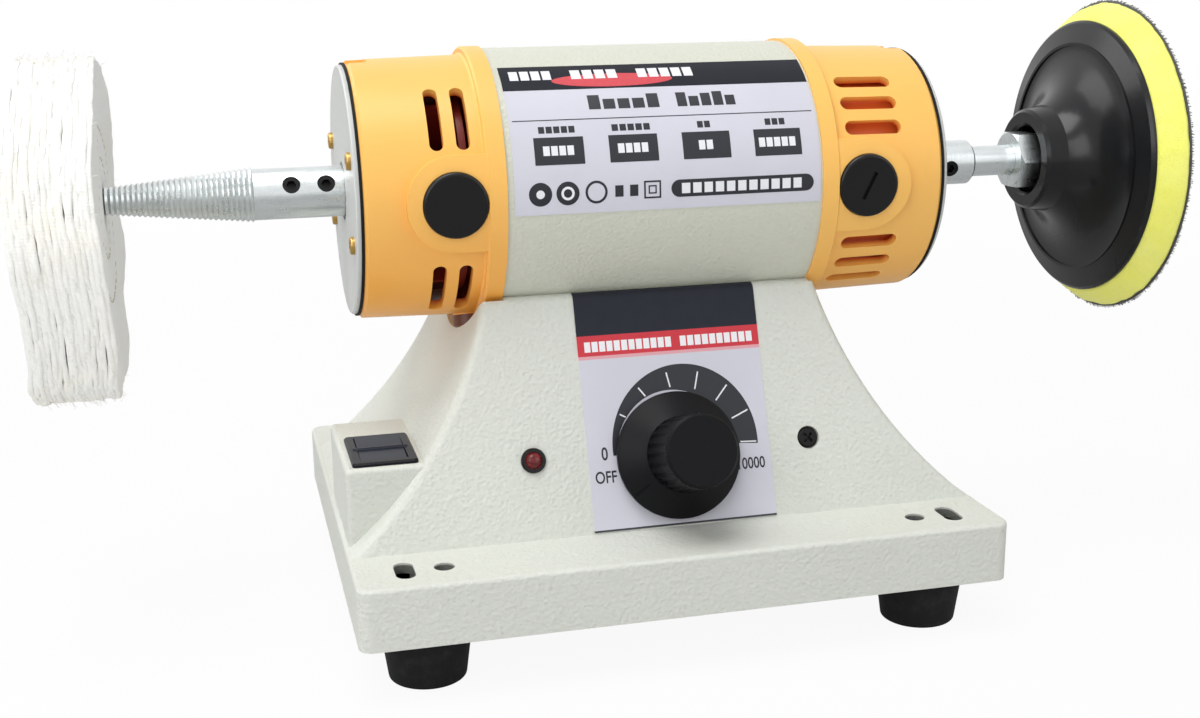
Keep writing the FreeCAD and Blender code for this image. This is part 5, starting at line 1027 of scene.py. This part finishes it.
class LATHE_OT_fit_controls(LatheOperator, Operator):
    """Finish the switch, lamp, knob and front screw"""

    bl_idname = "lathe.fit_controls"
    bl_label = "Finish Controls"

    def make(self, colours, sizes, stage):
        dress(moulded("housing_plastic", linear(20, 21, 26), 0.36, Specular_IOR_Level=0.15),
              "power_switch_housing")
        dress(moulded("rocker_plastic", colours.switch, 0.3, Specular_IOR_Level=0.18),
              "power_rocker")
        dress(moulded("knob_plastic", colours.knob, 0.38, 0.0006, 0.00004, 0.1,
                      Specular_IOR_Level=0.12), "speed_knob")
        dress(moulded("cap_plastic", linear(18, 18, 20), 0.2, Specular_IOR_Level=0.3),
              slot="cap_black")
        dress(lamp_lens("lamp_red", colours.lens), "lamp_lens")
        dress(plated("black_oxide", linear(42, 43, 42), 0.4), slot="black_screw")


class LATHE_OT_finish_electrics(LatheOperator, Operator):
    """Finish the speed board, terminals and leads inside the stand"""

    bl_idname = "lathe.finish_electrics"
    bl_label = "Finish Electrics"

    def make(self, colours, sizes, stage):
        dress(circuit_board("board_green", linear(30, 98, 56)), "speed_board")
        dress(plated("component_alloy", linear(130, 136, 142), 0.4, 0.6), "board_components")
        dress(moulded("terminal_nylon", linear(226, 226, 214), 0.4), "terminal_block")
        dress(moulded("lead_sleeve", linear(168, 34, 30), 0.45), "motor_leads")


class LATHE_OT_finish_motor(LatheOperator, Operator):
    """Finish the motor's tube, covers, end plates and everything that stands still in it"""

    bl_idname = "lathe.finish_motor"
    bl_label = "Finish Motor"

    def make(self, colours, sizes, stage):
        dress(wrinkle_paint("tube_paint", colours.tube, 0.0009, 0.00023, 0.42), "motor_tube")
        dress(end_cover_plastic("cover_plastic", colours.covers), slot="orange_plastic")
        dress(wrinkle_paint("plate_paint", colours.plate, 0.0012, 0.00003, 0.4), slot="plate_grey")
        dress(rubber("gasket_rubber", linear(22, 22, 23)), "gasket_rings")
        dress(plated("yellow_plating", colours.brass), "end_plate_screws")
        dress(stacked_steel("lamination_steel", linear(112, 114, 118), 0.0005),
              slot="laminated_steel")
        dress(wound_wire("winding_copper", colours.copper, 0.0007), slot="enamelled_copper")
        dress(moulded("holder_phenolic", linear(72, 42, 28), 0.45), "brush_holders")
        dress(brush_carbon("brush_carbon", linear(48, 48, 50)), slot="brush_carbon")
        dress(plated("spring_wire", linear(196, 184, 160), 0.25), slot="spring_steel")


class LATHE_OT_finish_rotor(LatheOperator, Operator):
    """Finish the shaft, commutator, fan, spindle, coupling and pad backing"""

    bl_idname = "lathe.finish_rotor"
    bl_label = "Finish Rotor"

    def make(self, colours, sizes, stage):
        dress(turned_steel("bright_zinc", colours.zinc, 0.3), slot="bright_steel")
        dress(turned_steel("bearing_steel", linear(190, 192, 194), 0.2, 0.0004),
              slot="bearing_steel")
        dress(commutator_bars("commutator_copper", linear(214, 140, 84), 24), "commutator")
        # Painted shade: the fan is coloured maroon like the shaded inside of the cover.
        dress(moulded("fan_plastic", colours.fan, 0.35), "cooling_fan")
        dress(moulded("backing_plastic", colours.backing, 0.24, 0.0012, 0.00003, 0.12,
                      Specular_IOR_Level=0.24, Coat_Weight=0.22, Coat_Roughness=0.16),
              "pad_backing")
        dress(plated("insert_steel", linear(160, 160, 160)), "pad_insert")


class LATHE_OT_print_front(LatheOperator, Operator):
    """Print the front label: header, stripe, speed scale and its figures"""

    bl_idname = "lathe.print_front"
    bl_label = "Print Front Label"

    def make(self, colours, sizes, stage):
        dress(dial_film("dial_label_film", colours), "dial_label")
        lift, thick = LABEL_THICK / MM - INK_SUNK, sizes.ink_thick / MM
        black = print_ink("label_black", colours.ink)
        white = print_ink("label_white", linear(240, 240, 244), 0.03)

        scale = Print()
        scale.arc(DIAL_X, DIAL_UP, 184, -4, lambda a: DIAL_R,
                  lambda a: DIAL_R - crescent_width(a), 60)
        printed("dial_scale", scale.laid(front_place, lift, thick), black)
        ticks = onto_front(tick_pattern(white), DIAL_X, DIAL_UP, lift + thick)
        printed("dial_ticks", ticks, white)
        figures = [figure_mesh(*figure, sizes.ink_thick) for figure in (
            ("0", -19.0, 54.6, 3.7), ("OFF", -19.2, 48.3, 3.4), ("10000", 24.6, 48.6, 3.3))]
        printed("dial_figures", joined(figures), black)

        words = Print()
        words.marks(-22.0, 82.5, 4.5, 85.3, 12)
        words.marks(6.8, 82.5, 29.4, 85.3, 10)
        printed("stripe_marks", words.laid(front_place, lift, thick), white)


class LATHE_OT_print_rating(LatheOperator, Operator):
    """Print the motor label's plain boxes, rules and marks"""

    bl_idname = "lathe.print_rating"
    bl_label = "Print Motor Label"

    def make(self, colours, sizes, stage):
        dress(rating_film("rating_label_film", colours), "rating_label")
        levels = [-4 + 1.2 * step for step in range(41)]

        def lay(name, shapes, ink, lift=-INK_SUNK):
            printed(name, shapes.laid(tube_place, lift, sizes.ink_thick / MM, levels), ink)

        black = print_ink("rating_black", colours.ink)
        white = print_ink("rating_white", linear(236, 237, 242), 0.03)
        red = print_ink("rating_red", colours.stripe)
        over_ink = 0.035

        accent = Print()
        accent.disc(-9.8, 36.4, 17.8, 2.7, 48)
        lay("rating_accent", accent, red)

        bright = Print()
        for left, right, count in ((-39.4, -26.8, 4), (-21.6, -7.4, 4), (-2.0, 15.2, 5)):
            bright.marks(left, 37.0, right, 40.9, count)
        lay("rating_header_marks", bright, white, over_ink)

        dark = Print()
        dark.marks(-18.5, 25.8, 3.0, 30.6, (10, 7, 7, 7, 10))
        dark.marks(7.5, 25.8, 25.6, 30.6, (10, 7, 9, 10, 7))
        dark.box(-41.0, 22.7, 47.4, 23.0)
        for centre, count, half in ((-28.6, 5, 5.4), (-7.15, 5, 5.8), (14.3, 2, 2.1),
                                    (35.75, 3, 3.2)):
            dark.box(centre - 7.1, 9.9, centre + 7.1, 17.7)
            dark.marks(centre - half, 18.9, centre + half, 20.9, count)
        for centre in (-34.7, -26.9):
            dark.disc(centre, 1.9, 3.3)
        dark.ring(-18.7, 1.9, 3.2, 0.7)
        dark.box(-13.3, 0.3, -10.9, 3.5)
        dark.box(-9.0, 0.3, -6.6, 3.5)
        dark.frame(-4.9, -0.6, 0.1, 4.4, 0.5)
        dark.frame(-3.6, 0.7, -1.2, 3.1, 0.4)
        dark.pill(3.1, -0.6, 46.1, 4.3)
        lay("rating_dark_marks", dark, black)

        light = Print()
        for centre, count in ((-28.6, 4), (-7.15, 4), (14.3, 2), (35.75, 5)):
            half = count * 1.15
            light.marks(centre - half, 12.5, centre + half, 15.2, count)
        light.marks(6.2, 0.4, 43.2, 3.3, 11, 0.26)
        light.disc(-34.7, 1.9, 1.2)
        light.ring(-26.9, 1.9, 1.9, 0.7)
        lay("rating_light_marks", light, white, over_ink)


class LATHE_OT_hang_buff(LatheOperator, Operator):
    """Hang the cotton buff on the taper, with its loose threads"""

    bl_idname = "lathe.hang_buff"
    bl_label = "Hang Cotton Buff"

    def make(self, colours, sizes, stage):
        cotton = cotton_cloth("buff_cotton", colours.cotton)
        sewing = sewing_thread("buff_sewing", linear(222, 214, 190))
        plies = Plies(sizes)
        buff = piece("buff_plies", plies.mesh(), cotton, "rotor")
        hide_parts("cotton_buff")
        piece("buff_threads", thread_pattern(sizes, cotton), cotton, "rotor")
        piece("buff_stitches", stitch_pattern(plies, sewing), sewing, "rotor")


class LATHE_OT_dress_pad(LatheOperator, Operator):
    """Put the foam and the hook face on the sanding pad"""

    bl_idname = "lathe.dress_pad"
    bl_label = "Dress Sanding Pad"

    def make(self, colours, sizes, stage):
        foam = piece("pad_foam_disc", foam_mesh(sizes), sanding_foam("foam_yellow", colours.foam),
                     "rotor")
        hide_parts("pad_foam")
        cloth = hook_cloth("hook_cloth", colours.hooks)
        ground = piece("hook_ground", hook_ground_mesh(), cloth, "rotor")
        hooks = piece("hook_bristles", hook_pattern(sizes, cloth), cloth, "rotor")
        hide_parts("pad_hook_face")
        across = HOOK_HIGH[1] - HOOK_LOW[1]


class LATHE_OT_set_stage(LatheOperator, Operator):
    """Set the floor, the soft lights and the camera"""

    bl_idname = "lathe.set_stage"
    bl_label = "Set Stage"

    def make(self, colours, sizes, stage):
        scene = bpy.context.scene
        scene.view_settings.view_transform = "Standard"
        self.lay_floor()
        self.light_world(stage.sky)
        self.hang_light("key_light", (-0.5, -0.3, 2.0), 1.3, stage.key)
        self.hang_light("fill_light", (1.4, -1.0, 0.8), 1.1, stage.fill)
        self.hang_light("left_light", (-0.66, -0.72, 0.55), 0.6, stage.side)
        self.hang_light("back_light", (-1.0, 0.8, 0.7), 0.8, stage.fill * 1.2)
        self.place_camera(scene, stage)

    def seen_white(self, graph, mirrored):
        """Where a surface shows as white: to the eye, through glass, and partly in a reflection."""
        path = graph.node("ShaderNodeLightPath")
        direct = path.out("Is Camera Ray").maths("MAXIMUM", path.out("Is Transmission Ray"))
        return direct.maths("MAXIMUM", path.out("Is Glossy Ray") * mirrored)

    def lay_floor(self):
        half, greys, mirrored_white = 6.0, (0.72, 0.28), 0.35
        shadow_share, shadow_fades = 0.07, (0.3, 1.1)
        mesh = bpy.data.meshes.new("floor")
        mesh.from_pydata([(-half, -half, 0), (half, -half, 0), (half, half, 0), (-half, half, 0)],
                         [], [(0, 1, 2, 3)])
        floor = added("floor", mesh)
        material = bpy.data.materials.new("floor_white")
        graph = Graph(emptied_tree(material))
        matt, dim = (graph.node("ShaderNodeBsdfDiffuse", None, {"Color": (grey, grey, grey, 1.0)})
                     for grey in greys)
        in_mirror = graph.node("ShaderNodeLightPath").out("Is Glossy Ray")
        matt = graph.node("ShaderNodeMixShader", None, {0: in_mirror, 1: matt, 2: dim})
        glow = graph.node("ShaderNodeEmission", None, {"Color": WHITE, "Strength": 1.0})
        away = graph.node("ShaderNodeTexCoord", output="Object")
        away = graph.node("ShaderNodeVectorMath", {"operation": "LENGTH"}, {0: away}, "Value")
        whiter = away.step(*shadow_fades) * shadow_share + (1 - shadow_share)
        share = self.seen_white(graph, mirrored_white) * whiter
        mixed = graph.node("ShaderNodeMixShader", None, {0: share, 1: matt, 2: glow})
        graph.node("ShaderNodeOutputMaterial", None, {"Surface": mixed})
        mesh.materials.append(material)

    def light_world(self, sky):
        world = bpy.data.worlds.new("studio")
        bpy.context.scene.world = world
        graph = Graph(emptied_tree(world))
        strength = self.seen_white(graph, 1.0) * (1.0 - sky) + sky
        light = graph.node("ShaderNodeBackground", None, {"Color": WHITE, "Strength": strength})
        graph.node("ShaderNodeOutputWorld", None, {"Surface": light})

    def hang_light(self, name, spot, size, power):
        lamp = bpy.data.lights.new(name, "AREA")
        lamp.shape, lamp.size, lamp.energy = "SQUARE", size, power
        holder = added(name, lamp)
        holder.location = spot
        holder.rotation_euler = (LIT - Vector(spot)).to_track_quat("-Z", "Y").to_euler()

    def place_camera(self, scene, stage):
        lens = bpy.data.cameras.new("camera")
        lens.sensor_fit, lens.sensor_width, lens.lens = "HORIZONTAL", 36.0, stage.lens
        lens.clip_start = 0.01
        camera = added("camera", lens)
        turns = (Matrix.Rotation(stage.azimuth, 4, "Z")
                 @ Matrix.Rotation(math.pi / 2 - stage.elevation, 4, "X")
                 @ Matrix.Rotation(stage.roll, 4, "Z"))
        back_off = Matrix.Translation((0.0, 0.0, stage.distance))
        camera.matrix_world = Matrix.Translation(LOOK_AT) @ turns @ back_off
        scene.camera = camera


OPERATORS = (LATHE_OT_paint_stand, LATHE_OT_fit_controls, LATHE_OT_finish_electrics,
             LATHE_OT_finish_motor, LATHE_OT_finish_rotor, LATHE_OT_print_front,
             LATHE_OT_print_rating, LATHE_OT_hang_buff, LATHE_OT_dress_pad, LATHE_OT_set_stage)


class LATHE_PT_make(Panel):
    """The lathe's steps, in the sidebar"""

    bl_idname = "LATHE_PT_make"
    bl_label = "Polishing Lathe"
    bl_space_type = "VIEW_3D"
    bl_region_type = "UI"
    bl_category = "Lathe"

    def draw(self, context):
        for operator in OPERATORS:
            self.layout.operator(operator.bl_idname)
        for group in (context.scene.lathe_colours, context.scene.lathe_sizes,
                      context.scene.lathe_stage):
            box = self.layout.box()
            for name in group.__annotations__:
                box.prop(group, name)


GROUPS = (LatheColours, LatheSizes, LatheStage)


def register():
    for cls in GROUPS + OPERATORS + (LATHE_PT_make,):
        bpy.utils.register_class(cls)
    bpy.types.Scene.lathe_colours = PointerProperty(type=LatheColours)
    bpy.types.Scene.lathe_sizes = PointerProperty(type=LatheSizes)
    bpy.types.Scene.lathe_stage = PointerProperty(type=LatheStage)


def unregister():
    del bpy.types.Scene.lathe_stage
    del bpy.types.Scene.lathe_sizes
    del bpy.types.Scene.lathe_colours
    for cls in reversed(GROUPS + OPERATORS + (LATHE_PT_make,)):
        bpy.utils.unregister_class(cls)


def main():
    register()
    for operator in OPERATORS:
        getattr(bpy.ops.lathe, operator.bl_idname.partition(".")[2])()


if __name__ == "__main__":
    main()
